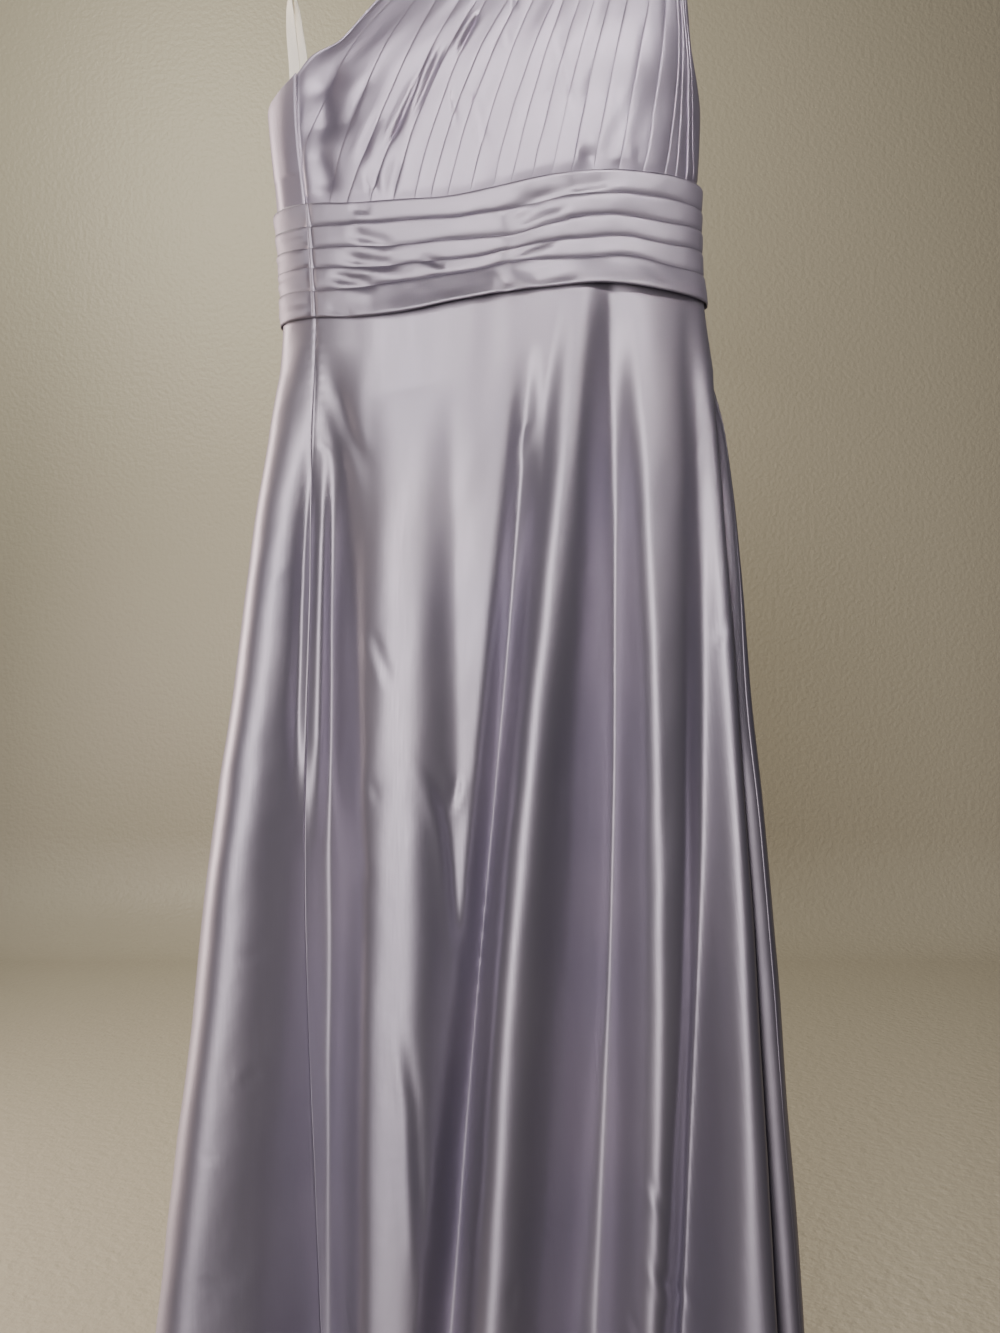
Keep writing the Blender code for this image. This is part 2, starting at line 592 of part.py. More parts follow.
def make_bodice_back(collection, finish):
    left, right = seam_angles(UNDERARM_RIGHT_Z)
    on_strap = round(SHOULDER_SHARE * BACK_COLUMNS)
    shares = np.concatenate(
        [
            np.linspace(0, SHOULDER_SHARE, on_strap + 1),
            [SHOULDER_SHARE + SHOULDER_STEP],
            np.linspace(SHOULDER_SHARE, 1, BACK_COLUMNS - on_strap)[1:],
        ]
    )
    angle = spaced_angles(UNDERARM_RIGHT_Z, right, left + 2 * math.pi, shares)
    on_shoulder = shares <= SHOULDER_SHARE
    strap = shoulder_line(1 - shares[on_shoulder] / shares[on_shoulder][-1], 1)
    seam_top = ring_point(UNDERARM_LEFT_Z, left)
    past = (shares[~on_shoulder] - shares[on_shoulder][-1]) / (1 - shares[on_shoulder][-1])
    neck = path_through([strap[-1], *NECKLINE_BACK, seam_top], past)
    top = np.concatenate([strap, neck])
    lower = bodice_ring_rows(right, left + 2 * math.pi, shares, (0, 1.0))
    side_top = lower[1, 0]
    above = top[:, 2] - side_top[2]
    rows = []
    for level in BACK_LEVELS:
        z = lower[0, :, 2] + (top[:, 2] - lower[0, :, 2]) * level
        on_ring = ring_point(z, angle, -PLEAT_RISE * np.clip(1 - level / BACK_LEVELS[1], 0, 1))
        drawn = np.clip((z - side_top[2]) / np.maximum(above, UNDERARM_NEAR), 0, 1)
        drawn = np.where(above > UNDERARM_NEAR, drawn, level ** 3)[:, None]
        rows.append(on_ring + (top - on_ring) * drawn * np.array([1, 1, 0]))
    plain = np.array(rows)
    rise = plain[:, 0, 2] > side_top[2]
    run = (plain[rise, 0, 2] - side_top[2]) / (strap[0, 2] - side_top[2])
    arm = path_through([side_top, *ARMHOLE_BACK, strap[0]], run)
    fade = (np.clip(1 - shares / ARMHOLE_FADE, 0, 1) ** 2)[None, :, None]
    plain[rise] += fade * (arm - plain[rise, 0])[:, None]
    seam_gap = wrap_over_arm(strap, 1)
    # Beside the strap the neckline stands as high as the seam, so that the cloth clears the arm.
    lift = NECK_ROW + (SHOULDER_WRAP[0][1] / 2 - NECK_ROW) * np.clip(1 - past / NECK_STRAP, 0, 1)
    up = np.stack([0 * lift, 0 * lift, lift], axis=-1)
    beyond = np.array([neck + up, neck + 2 * up])
    plain = np.concatenate([plain, np.concatenate([seam_gap, beyond], axis=1)])
    normal = facing_out(plain, rising=True)
    normal[:, -1] = seam_facing(left)
    normal[~np.append(rise, [True, True]), 0] = seam_facing(right)
    normal[-1, on_shoulder] = shoulder_facing()
    wall("bodice_back", *part_at_seams(plain, plain - normal * CLOTH), collection, finish)


def arm_top(x):
    return ARM_TOP_Z - abs(x) * math.tan(ARM_SLOPE)


def hanger_outline():
    """Half the hanger's outline, from the middle of its top edge to the middle of its lower edge."""
    half = NOTCH_WIDTH / 2
    floor = arm_top(NOTCH_X) - NOTCH_DEPTH
    notch = [
        (NOTCH_X - half, arm_top(NOTCH_X - half)),
        (NOTCH_X - half + NOTCH_RAMP, floor),
        (NOTCH_X + half - NOTCH_RAMP, floor),
        (NOTCH_X + half, arm_top(NOTCH_X + half)),
    ]
    top = [(0.0, ARM_TOP_Z)] + notch
    round_end = ARM_HEIGHT_END / 2
    middle = arm_top(ARM_REACH) - round_end
    end = [
        (ARM_REACH + round_end * math.sin(a), middle + round_end * math.cos(a))
        for a in np.linspace(0.1 * math.pi, math.pi, 6)
    ]
    return top + end + [(0.0, ARM_TOP_Z - ARM_HEIGHT_MIDDLE)]


def bore(collection):
    """The cutter for the hook's socket."""
    bpy.ops.mesh.primitive_cylinder_add(
        vertices=20,
        radius=HOOK_WIRE + SEAM_GAP,
        depth=2 * HOOK_SOCKET,
        location=(0, 0, ARM_TOP_Z),
    )
    cutter = bpy.context.object
    cutter.name = "hook_socket_cutter"
    cutter.hide_render = True
    cutter.display_type = "WIRE"
    for other in list(cutter.users_collection):
        other.objects.unlink(cutter)
    collection.objects.link(cutter)
    return cutter


def make_hanger(collection, cutters):
    right = hanger_outline()
    left = [(-x, z) for x, z in right[1:-1]]
    outline = bpy.data.curves.new("hanger_outline", "CURVE")
    outline.dimensions = "2D"
    outline.fill_mode = "BOTH"
    outline.extrude = ARM_THICKNESS / 2
    spline = outline.splines.new("POLY")
    points = right + left[::-1]
    spline.points.add(len(points) - 1)
    for point, (x, z) in zip(spline.points, points):
        point.co = (x, z, 0, 1)
    spline.use_cyclic_u = True
    flat = bpy.data.objects.new("hanger_flat", outline)
    flat.rotation_euler = (math.radians(90), 0, 0)
    collection.objects.link(flat)
    bpy.context.view_layer.update()
    mesh = bpy.data.meshes.new_from_object(flat.evaluated_get(bpy.context.evaluated_depsgraph_get()))
    mesh.transform(flat.matrix_world)
    bpy.data.objects.remove(flat)
    shape = bmesh.new()
    shape.from_mesh(mesh)
    bmesh.ops.remove_doubles(shape, verts=shape.verts, dist=1e-5)
    bmesh.ops.recalc_face_normals(shape, faces=shape.faces)
    shape.to_mesh(mesh)
    shape.free()
    finish = material("hanger_plastic", HANGER_WHITE, 0.4)
    hanger = keep(bpy.data.objects.new("hanger", mesh), collection, finish)
    rounded = hanger.modifiers.new("rounded edges", "BEVEL")
    rounded.width = ARM_ROUNDING
    rounded.segments = 3
    rounded.use_clamp_overlap = False
    rounded.limit_method = "ANGLE"
    rounded.angle_limit = math.radians(70)
    socket = hanger.modifiers.new("hook socket", "BOOLEAN")
    socket.object = bore(cutters)
    socket.operation = "DIFFERENCE"


def make_hook(collection):
    """A wire that rises from the hanger and curls over the rail: a stem, a swan neck and an arc."""
    centre_z = -HOOK_RADIUS
    bend = HOOK_RADIUS + HOOK_WIRE
    arc = [
        Vector((bend * math.cos(a), 0, centre_z + bend * math.sin(a)))
        for a in np.linspace(HOOK_START, HOOK_START + HOOK_TURN, HOOK_ARC_POINTS)
    ]
    stem = ((0, ARM_TOP_Z - HOOK_SOCKET + SEAM_GAP),) + HOOK_STEM
    points = [Vector((x, 0, z)) for x, z in stem] + arc
    curve = bpy.data.curves.new("hanger_hook", "CURVE")
    curve.dimensions = "3D"
    curve.bevel_depth = HOOK_WIRE
    curve.bevel_resolution = 2
    curve.use_fill_caps = True
    spline = curve.splines.new("POLY")
    spline.points.add(len(points) - 1)
    for point, place in zip(spline.points, points):
        point.co = (*place, 1)
    finish = material("hook_wire", WIRE_STEEL, 0.3, 1.0)
    keep(bpy.data.objects.new("hanger_hook", curve), collection, finish)


def make_ribbon(collection):
    """One ribbon, up in front of the left arm, over its notch and down behind."""
    notch_top = arm_top(NOTCH_X) - NOTCH_DEPTH + NOTCH_SLACK
    left, _ = seam_angles(UNDERARM_LEFT_Z)
    inside = ring_point(UNDERARM_LEFT_Z, left, -CLOTH - RIBBON_THICKNESS - RIBBON_INSIDE)
    along_ring = np.cross(seam_facing(left), (0, 0, 1))
    half = ARM_THICKNESS / 2 + RIBBON_CLEAR
    rise = notch_top - inside[2]
    climb = [(0.0, 0.0, -RIBBON_SEWN), (0.0, 0.0, RIBBON_FIRST_RISE)]
    climb += [(share, deep, rise * share) for share, deep in RIBBON_CLIMB]
    strands = []
    for side, layer in ((-1, 0), (1, RIBBON_LAYER)):
        strand = []
        for share, deep, lift in climb:
            place = inside - seam_facing(left) * layer * (1 - share)
            sideways = place[0] + (-NOTCH_X - inside[0]) * share
            y = place[1] + (side * half - inside[1]) * deep
            apart = -side * RIBBON_SPREAD * (1 - share) ** 0.5
            strand.append((sideways, y, inside[2] + lift, apart, 1 - share))
        strands.append(strand)
    over = [(-NOTCH_X, half * y, notch_top + drop, 0.0, 0.0) for y, drop in RIBBON_BEND]
    route = np.array(strands[0] + over + strands[1][::-1])
    wide = route[:, 4:5] * along_ring + (1 - route[:, 4:5]) * np.array([1.0, 0, 0])
    wide /= np.linalg.norm(wide, axis=1, keepdims=True)
    middle = route[:, :3] + wide * route[:, 3:4]
    across = np.array([-0.5, 0.5]) * RIBBON_WIDTH
    outer = middle[:, None] + wide[:, None] * across[None, :, None]
    normal = np.cross(np.gradient(outer, axis=0), wide[:, None])
    normal /= np.linalg.norm(normal, axis=-1, keepdims=True)
    wall(
        "hanger_loop",
        outer + normal * RIBBON_THICKNESS / 2,
        outer - normal * RIBBON_THICKNESS / 2,
        collection,
        material("ribbon_satin", RIBBON_WHITE, 0.35),
    )


def main():
    for obj in list(bpy.data.objects):
        bpy.data.objects.remove(obj, do_unlink=True)
    dress = bpy.data.collections.new("formal_dress")
    cutters = bpy.data.collections.new("cutters")
    for collection in (dress, cutters):
        bpy.context.scene.collection.children.link(collection)
    bodice = material("satin_bodice", SATIN_BODICE, 0.42)
    make_skirt(dress)
    make_band(dress)
    make_bodice_front(dress, bodice)
    make_bodice_back(dress, bodice)
    make_hanger(dress, cutters)
    make_hook(dress)
    make_ribbon(dress)


main()
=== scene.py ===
# %% [markdown]
# # A satin evening dress on its hanger
# The dress has one shoulder, a knife-pleated front, a band of five tucks round the waist and an A-line
# skirt that falls in soft rolls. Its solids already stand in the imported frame, with few faces. Here each
# cloth piece is worked out again on a fine grid from the same rings, and gets the creases, rolled edges and
# satin that the plain solids leave out. The lesson shows how a garment can be built from a few tables.

import math

import bpy
import numpy as np
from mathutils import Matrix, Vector


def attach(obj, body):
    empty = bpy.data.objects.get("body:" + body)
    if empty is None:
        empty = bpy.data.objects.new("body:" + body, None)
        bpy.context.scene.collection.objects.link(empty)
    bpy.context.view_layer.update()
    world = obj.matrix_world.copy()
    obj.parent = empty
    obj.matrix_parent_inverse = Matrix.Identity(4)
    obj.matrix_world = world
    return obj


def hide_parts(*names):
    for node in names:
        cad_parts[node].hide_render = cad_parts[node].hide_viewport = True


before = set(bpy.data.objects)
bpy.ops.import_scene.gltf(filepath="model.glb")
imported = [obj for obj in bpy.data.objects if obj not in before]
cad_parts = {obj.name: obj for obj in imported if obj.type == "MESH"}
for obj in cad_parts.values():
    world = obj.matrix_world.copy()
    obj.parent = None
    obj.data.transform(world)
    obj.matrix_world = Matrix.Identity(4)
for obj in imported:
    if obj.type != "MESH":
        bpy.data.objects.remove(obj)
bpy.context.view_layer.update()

# %% [markdown]
# ## Camera, floor and light
# The photograph was taken from about a metre away, level with the skirt's upper half, so the view cuts off
# the shoulder and the hem. The camera stands there, level, and looks straight along +Y. Satin shows what it
# reflects, so each bright streak needs a lamp and each dark one something dark. A tall lamp in front on the
# left, like a window, gives the streaks down the rolls, and one beside the dress gives their left rims. The
# dark carpet in front throws little light back, so the far sides of the rolls stay dark. A small lamp lifts
# the bodice, one lights the wall, and a weak one the back.

# %% Camera
HALF_VIEW = 0.56        # half the view's height at a distance of one metre
CAMERA_PLACE = (0.0378, -1.0, -0.8114)
camera_data = bpy.data.cameras.new("camera")
camera_data.angle = 2 * math.atan(HALF_VIEW)
camera = bpy.data.objects.new("camera", camera_data)
camera.location = CAMERA_PLACE
camera.rotation_euler = (math.radians(90), 0, 0)
bpy.context.scene.collection.objects.link(camera)
bpy.context.scene.camera = camera


# %% Colours, nodes and objects
def linear(code):
    """A hex sRGB colour as linear red, green, blue and a full alpha: ((c + 0.055) / 1.055) to the power 2.4,
    or c / 12.92 up to 0.04045."""
    c = np.array([int(code[i:i + 2], 16) for i in (1, 3, 5)]) / 255
    return (*np.where(c > 0.04045, ((c + 0.055) / 1.055) ** 2.4, c / 12.92), 1.0)


def add_node(tree, kind, settings=None, inputs=None):
    """Adds a node, sets its properties, and fills its inputs with values or links them to sockets."""
    made = tree.nodes.new(kind)
    for name, value in (settings or {}).items():
        setattr(made, name, value)
    for name, value in (inputs or {}).items():
        if isinstance(value, bpy.types.NodeSocket):
            tree.links.new(value, made.inputs[name])
        else:
            made.inputs[name].default_value = value
    return made


def new_material(name):
    """A material with an empty node tree, and the place of each point of its object."""
    made = bpy.data.materials.new(name)
    made.use_nodes = True
    made.node_tree.nodes.clear()
    return made, made.node_tree, add_node(made.node_tree, "ShaderNodeTexCoord").outputs["Object"]


def noise(tree, place, scale, detail):
    """Soft noise from 0 to 1, with about "scale" blots to a metre."""
    inputs = {"Vector": place, "Scale": scale, "Detail": detail}
    return add_node(tree, "ShaderNodeTexNoise", inputs=inputs).outputs["Fac"]


def ranged(tree, value, low, high, start=0.0, end=1.0):
    """The value, with what lies from start to end spread from low to high."""
    inputs = {"Value": value, "From Min": start, "From Max": end, "To Min": low, "To Max": high}
    return add_node(tree, "ShaderNodeMapRange", inputs=inputs).outputs["Result"]


def raised(tree, height, strength, depth, under=None):
    """The normals of a surface that a height from 0 to 1 raises by depth, over other normals if given."""
    inputs = {"Height": height, "Strength": strength, "Distance": depth}
    if under is not None:
        inputs["Normal"] = under
    return add_node(tree, "ShaderNodeBump", inputs=inputs).outputs["Normal"]


def surface(tree, **inputs):
    """Ends a material with the Principled shader. An input's name has _ for each space."""
    named = {name.replace("_", " "): value for name, value in inputs.items()}
    shader = add_node(tree, "ShaderNodeBsdfPrincipled", inputs=named)
    add_node(tree, "ShaderNodeOutputMaterial", inputs={"Surface": shader.outputs["BSDF"]})


def mesh_object(name, points, faces, finish, uv=None):
    """A smooth-shaded object at the origin, with its places in its mesh and a UV map in metres."""
    mesh = bpy.data.meshes.new(name)
    mesh.from_pydata(points.reshape(-1, 3).tolist(), [], faces.tolist())
    if uv is not None:
        layer = mesh.uv_layers.new(name="cloth")
        corners = np.zeros(len(mesh.loops), np.int32)
        mesh.loops.foreach_get("vertex_index", corners)
        layer.data.foreach_set("uv", uv.reshape(-1, 2)[corners].ravel())
    mesh.shade_smooth()
    mesh.materials.append(finish)
    made = bpy.data.objects.new(name, mesh)
    bpy.context.scene.collection.objects.link(made)
    return made


def quads(rows, columns, close_columns=False):
    """Corner numbers of the faces of a grid, in the order that makes them face out of the dress."""
    index = np.arange(rows * columns).reshape(rows, columns)
    if close_columns:
        index = np.concatenate([index, index[:, :1]], axis=1)
    return np.stack([index[:-1, :-1], index[:-1, 1:], index[1:, 1:], index[1:, :-1]], -1).reshape(-1, 4)


# %% Floor, wall and lamps
WALL_Y, WALL_TOP_Z = 3.0, 2.2   # far enough off for the back to be seen as well
FLOOR_Z, FLOOR_FRONT_Y = -1.72, -6.0
STAGE_HALF = 3.5                # half the width of the wall, the floor and the carpet
SWEEP_RADIUS = 0.35
CARPET_Y, CARPET_THICKNESS = (-5.5, 0.45), 0.006


def plaster_finish():
    """Painted plaster: satin emulsion over an orange-peel texture, whose bumps glint a little."""
    made, tree, place = new_material("painted_plaster")
    peel = raised(tree, noise(tree, place, 70.0, 3.0), 0.9, 0.0030)
    surface(tree, Base_Color=linear("#bcb7a6"), Roughness=0.40, Normal=peel)
    return made


def carpet_finish():
    """Short wool pile, dark grey."""
    made, tree, place = new_material("wool_carpet")
    tuft = add_node(tree, "ShaderNodeTexVoronoi", inputs={"Vector": place, "Scale": 220.0})
    pile = raised(tree, tuft.outputs["Distance"], 0.6, 0.003)
    surface(tree, Base_Color=linear("#3c3a3c"), Roughness=0.95, Normal=pile)
    return made


def swept(name, x, y, z, finish):
    """A sheet of the stage: the line (y, z) carried along X."""
    grid = np.stack(np.broadcast_arrays(x[None, :], y[:, None], z[:, None]), axis=-1)
    return mesh_object(name, grid, quads(len(y), len(x))[:, ::-1], finish)


def backdrop():
    """A flat floor and a flat wall joined by a quarter circle."""
    bend = np.linspace(0, math.pi / 2, 13)
    y = np.concatenate([[FLOOR_FRONT_Y], WALL_Y - SWEEP_RADIUS + SWEEP_RADIUS * np.sin(bend), [WALL_Y]])
    z = np.concatenate([[FLOOR_Z], FLOOR_Z + SWEEP_RADIUS * (1 - np.cos(bend)), [WALL_TOP_Z]])
    return swept("backdrop", np.linspace(-STAGE_HALF, STAGE_HALF, 3), y, z, plaster_finish())


def carpet():
    """The carpet's face, from just behind the dress to behind the camera. The camera doesn't see it."""
    y = np.linspace(*CARPET_Y, 8)
    z = np.full(len(y), FLOOR_Z + CARPET_THICKNESS)
    return swept("carpet", np.linspace(-STAGE_HALF, STAGE_HALF, 8), y, z, carpet_finish())


backdrop()
carpet()

# Name, place, what it faces, width and height, power, spread in degrees and colour.
LAMPS = (
    ("front_window", (-0.52, -2.30, -0.45), (0.03, 0.0, -0.85), (0.5, 1.5), 51.0, 180, "#fff6f2"),
    ("bodice_lamp", (0.80, -2.00, 0.40), (0.16, 0.0, -0.28), (0.4, 0.3), 0.9, 24, "#fff6f2"),
    ("window_lamp", (-2.20, 0.55, -0.45), (0.03, 0.0, -0.80), (0.5, 1.7), 58.0, 180, "#ffeadb"),
    ("wall_lamp", (-1.20, 0.80, 1.50), (0.60, 3.0, -0.10), (1.5, 1.5), 62.0, 180, "#fff6e0"),
    ("back_lamp", (0.50, 2.60, 0.90), (0.00, 0.0, -0.80), (1.0, 1.0), 8.0, 180, "#fff0e4"),
)
for name, place, target, (width, height), watts, spread, code in LAMPS:
    lamp = bpy.data.lights.new(name, "AREA")
    lamp.shape = "RECTANGLE"
    lamp.size, lamp.size_y = width, height
    lamp.energy = watts
    lamp.spread = math.radians(spread)
    lamp.color = linear(code)[:3]
    holder = bpy.data.objects.new(name, lamp)
    holder.location = place
    aim = Vector(target) - holder.location
    holder.rotation_euler = aim.to_track_quat("-Z", "Y").to_euler()
    bpy.context.scene.collection.objects.link(holder)

world = bpy.data.worlds.new("studio")
world.use_nodes = True
world.node_tree.nodes["Background"].inputs["Color"].default_value = linear("#a9b4e0")
world.node_tree.nodes["Background"].inputs["Strength"].default_value = 0.045
bpy.context.scene.world = world
print("lamps:", len(LAMPS))

# %% [markdown]
# ## The rings that every piece follows
# A dress on a hanger is a soft tube. Its shape at a height is a ring: flat in front and behind, rounder at
# the ends, which a superellipse gives with one power. A table holds the ring's ends and depths at a few
# heights, and a smooth curve through each column of the table fills in the rest. These are the same numbers
# as in the solids, so the fine cloth lies where they lie.

# %% Ring table
WAIST_Z, HEM_Z = -0.530, -1.594
CLOTH_GAP = 0.001       # between two layers that lie on each other
RING_SQUARENESS = 2.4
BEND_LENGTH = 0.030     # a radian of bend takes as many columns as this length of straight cloth
SECTION_COLUMNS = ("z", "left", "right", "front", "back", "seam_x", "seam_ahead")
SECTIONS = (
    (-0.331, -0.156, 0.205, 0.052, 0.037, -0.128, -0.006),
    (-0.385, -0.153, 0.203, 0.051, 0.036, -0.124, -0.006),
    (-0.435, -0.148, 0.202, 0.047, 0.034, -0.120, -0.006),
    (-0.480, -0.145, 0.204, 0.045, 0.033, -0.115, -0.004),
    (WAIST_Z, -0.143, 0.208, 0.046, 0.034, -0.112, 0.002),
    (-0.623, -0.154, 0.227, 0.050, 0.037, -0.116, 0.008),
    (-0.728, -0.171, 0.238, 0.053, 0.040, -0.120, 0.012),
    (-0.837, -0.184, 0.247, 0.056, 0.043, -0.125, 0.016),
    (-0.950, -0.200, 0.259, 0.060, 0.046, -0.129, 0.020),
    (-1.154, -0.221, 0.276, 0.066, 0.051, -0.130, 0.024),
    (-1.368, -0.244, 0.292, 0.072, 0.056, -0.127, 0.026),
    (HEM_Z, -0.266, 0.300, 0.078, 0.062, -0.124, 0.028),
)


def columns_of(table, names):
    """The table's columns by name, as arrays."""
    return {name: np.array([row[i] for row in table]) for i, name in enumerate(names)}


SECTION = columns_of(SECTIONS, SECTION_COLUMNS)


def ramp(value, start, run):
    """0 up to start, 1 from a run later on, and straight in between."""
    return np.clip((value - start) / run, 0, 1)


def bell(value, half, middle=0.0):
    """exp(-((value - middle) / half)^2)."""
    return np.exp(-((value - middle) / half) ** 2)


def unit(vectors):
    return vectors / np.linalg.norm(vectors, axis=-1, keepdims=True)


def step_lengths(grid, axis):
    """The distance from each point of a grid to the next one along the axis."""
    return np.linalg.norm(np.diff(grid, axis=axis), axis=-1)


def smooth(at, knots, values):
    """Cubic Hermite pieces through (knots, values): each end's slope is the gradient of its neighbours."""
    order = np.argsort(knots)
    knots = np.asarray(knots, float)[order]
    values = np.asarray(values, float)[order]
    slopes = np.gradient(values, knots)
    at = np.clip(at, knots[0], knots[-1])
    piece = np.clip(np.searchsorted(knots, at) - 1, 0, len(knots) - 2)
    span = knots[piece + 1] - knots[piece]
    t = (at - knots[piece]) / span
    return (
        values[piece] * (1 + 2 * t) * (1 - t) ** 2
        + values[piece + 1] * t ** 2 * (3 - 2 * t)
        + slopes[piece] * span * t * (1 - t) ** 2
        - slopes[piece + 1] * span * t ** 2 * (1 - t)
    )


def run_of(points):
    """The length along a path of points, up to each of them."""
    return np.concatenate([[0], np.cumsum(step_lengths(points, 0))])


def path_through(points, shares):
    """The places at these shares of a smooth path through the points. A point's first two or three numbers
    are its place; any after them are smoothed along with it."""
    points = np.asarray(points, float)
    run = run_of(points[:, :3])
    return np.stack([smooth(shares * run[-1], run, column) for column in points.T], axis=-1)


def section(name, z):
    return smooth(z, SECTION["z"], SECTION[name])


def signed_power(value, power):
    return np.sign(value) * np.abs(value) ** power


# %% Points on a ring
def ring_point(z, angle, out=0.0):
    """Superellipse: x = middle - half * cos^(2/n), y = -depth * sin^(2/n), then "out" along its normal. The
    angle is 0 at the left end, a quarter turn in front, half a turn at the right end."""
    z, angle, out = np.broadcast_arrays(z, angle, out)
    left, right = section("left", z), section("right", z)
    middle, half = (left + right) / 2, (right - left) / 2
    depth = np.where(np.sin(angle) > 0, section("front", z), section("back", z))
    across = signed_power(-np.cos(angle), 2 / RING_SQUARENESS)
    deep = signed_power(-np.sin(angle), 2 / RING_SQUARENESS)
    facing = np.stack(
        [
            signed_power(across, RING_SQUARENESS - 1) / half,
            signed_power(deep, RING_SQUARENESS - 1) / depth,
        ],
        axis=-1,
    )
    facing = unit(facing)
    return np.stack(
        [middle + half * across + facing[..., 0] * out, depth * deep + facing[..., 1] * out, z], axis=-1
    )


def read_rows(at, knots, values):
    """Each row's own curve (knots, values), read at that row's numbers. Rows are set far apart on one line,
    so that a single straight-line interpolation reads them all."""
    apart = 10.0 * np.arange(len(at))[:, None]
    knots = np.broadcast_to(knots, (len(at), np.shape(knots)[-1]))
    values = np.broadcast_to(values, knots.shape)
    return np.interp((at + apart).ravel(), (knots + apart).ravel(), values.ravel()).reshape(at.shape)


def ring_measures(z):
    """Angles round the rings at these heights, and each ring's length of cloth up to them."""
    angles = np.linspace(0, 2 * math.pi, 1441)
    points = ring_point(np.asarray(z)[:, None], angles[None, :])
    lengths = np.cumsum(step_lengths(points, 1), axis=1)
    return angles, np.concatenate([np.zeros((len(points), 1)), lengths], axis=1)


def spaced_angles(z, first, last, shares):
    """Angles at these shares of the way from first to last, closer where the ring bends: the measure is the
    length of cloth plus BEND_LENGTH for each radian of turn."""
    angles = np.linspace(0, 4 * math.pi, 2881)
    points = ring_point(z, angles)
    out = ring_point(z, angles, 1.0) - points
    run = run_of(points)
    turned = np.unwrap(np.arctan2(out[:, 1], out[:, 0]))
    measure = run + BEND_LENGTH * np.abs(turned - turned[0])
    ends = np.interp([first, last], angles, measure)
    return np.interp(ends[0] + (ends[1] - ends[0]) * np.asarray(shares), measure, angles)


def angle_at_x(z, x, side="front"):
    """The angle where the ring at height z crosses this X."""
    left, right = section("left", z), section("right", z)
    share = np.clip((x - (left + right) / 2) / ((right - left) / 2), -1, 1)
    angle = np.arccos(-signed_power(share, RING_SQUARENESS / 2))
    return angle if side == "front" else 2 * math.pi - angle


def seam_angles(z):
    """The angles of the left and the right side seam at these heights."""
    z = np.atleast_1d(z)
    angles, run = ring_measures(z)
    end = run[:, len(angles) // 2] - section("seam_ahead", z)
    return angle_at_x(z, section("seam_x", z)), read_rows(end[:, None], run, angles)[:, 0]


def facing_out(grid, closed=False, rising=False):
    """Unit normals: the cross product of the way along the columns and the way up the rows."""
    down = np.gradient(grid, axis=0) * (-1 if rising else 1)
    if closed:
        along = np.roll(grid, -1, axis=1) - np.roll(grid, 1, axis=1)
    else:
        along = np.gradient(grid, axis=1)
    return unit(np.cross(along, -down))


print("waist ring:", round(float(ring_measures([WAIST_Z])[1][0, -1]), 3), "m round")

# %% [markdown]
# ## Creases and unevenness
# Cloth that has been folded in a bag keeps soft creases, and satin shows each of them as a light line beside
# a dark one. A crease is drawn here as a trough along a line, with a low ridge on one side, and fades at
# both ends. Between creases the cloth is never quite even, so a slow random drift moves it by up to a
# millimetre. The drift is a lattice of random numbers, blended with a smooth step.


# %% Creases and drift
CREASE_PIECES = 6       # straight pieces that a crease's curve is measured from
CREASE_FULL = 1.6       # more than 1 keeps a crease's middle at its full depth
RIDGE_AWAY = 1.7        # how far the ridge lies from the crease's line, in half widths


def bump(distance):
    """A raised cosine: (1 + cos(pi d)) / 2 inside a distance of 1, and 0 outside."""
    return np.where(np.abs(distance) < 1, (1 + np.cos(math.pi * distance)) / 2, 0.0)


def furrow(x, z, table):
    """Sum over the creases of depth * (-exp(-(d/w)^2) + ridge * exp(-((d - 1.7w)/w)^2)), where d is the
    signed distance from the crease's line and w its half width. It fades from its middle to both ends."""
    out = np.zeros(np.broadcast(x, z).shape)
    for width, depth, ridge, *path in table:
        width, depth, points = width / 1000, depth / 1000, np.array(path) / 1000
        line = path_through(points, np.linspace(0, 1, CREASE_PIECES + 1))
        total = run_of(points)[-1]
        nearest = np.full(out.shape, 1e9)
        signed, reached = np.zeros(out.shape), np.zeros(out.shape)
        for start, end, begun in zip(line[:-1], line[1:], np.linspace(0, total, CREASE_PIECES + 1)):
            length = np.linalg.norm(end - start)
            way = (end - start) / length
            ahead = (x - start[0]) * way[0] + (z - start[1]) * way[1]
            aside = (x - start[0]) * way[1] - (z - start[1]) * way[0]
            past = ahead - np.clip(ahead, 0, length)
            far = np.hypot(aside, past)
            closer = far < nearest
            nearest = np.where(closer, far, nearest)
            signed = np.where(closer, np.where(aside < 0, -far, far), signed)
            reached = np.where(closer, begun + np.clip(ahead, 0, length), reached)
        fade = np.clip(bump(2 * reached / total - 1) * CREASE_FULL, 0, 1)
        out += depth * fade * (ridge * bell(signed, width, RIDGE_AWAY * width) - bell(signed, width))
    return out


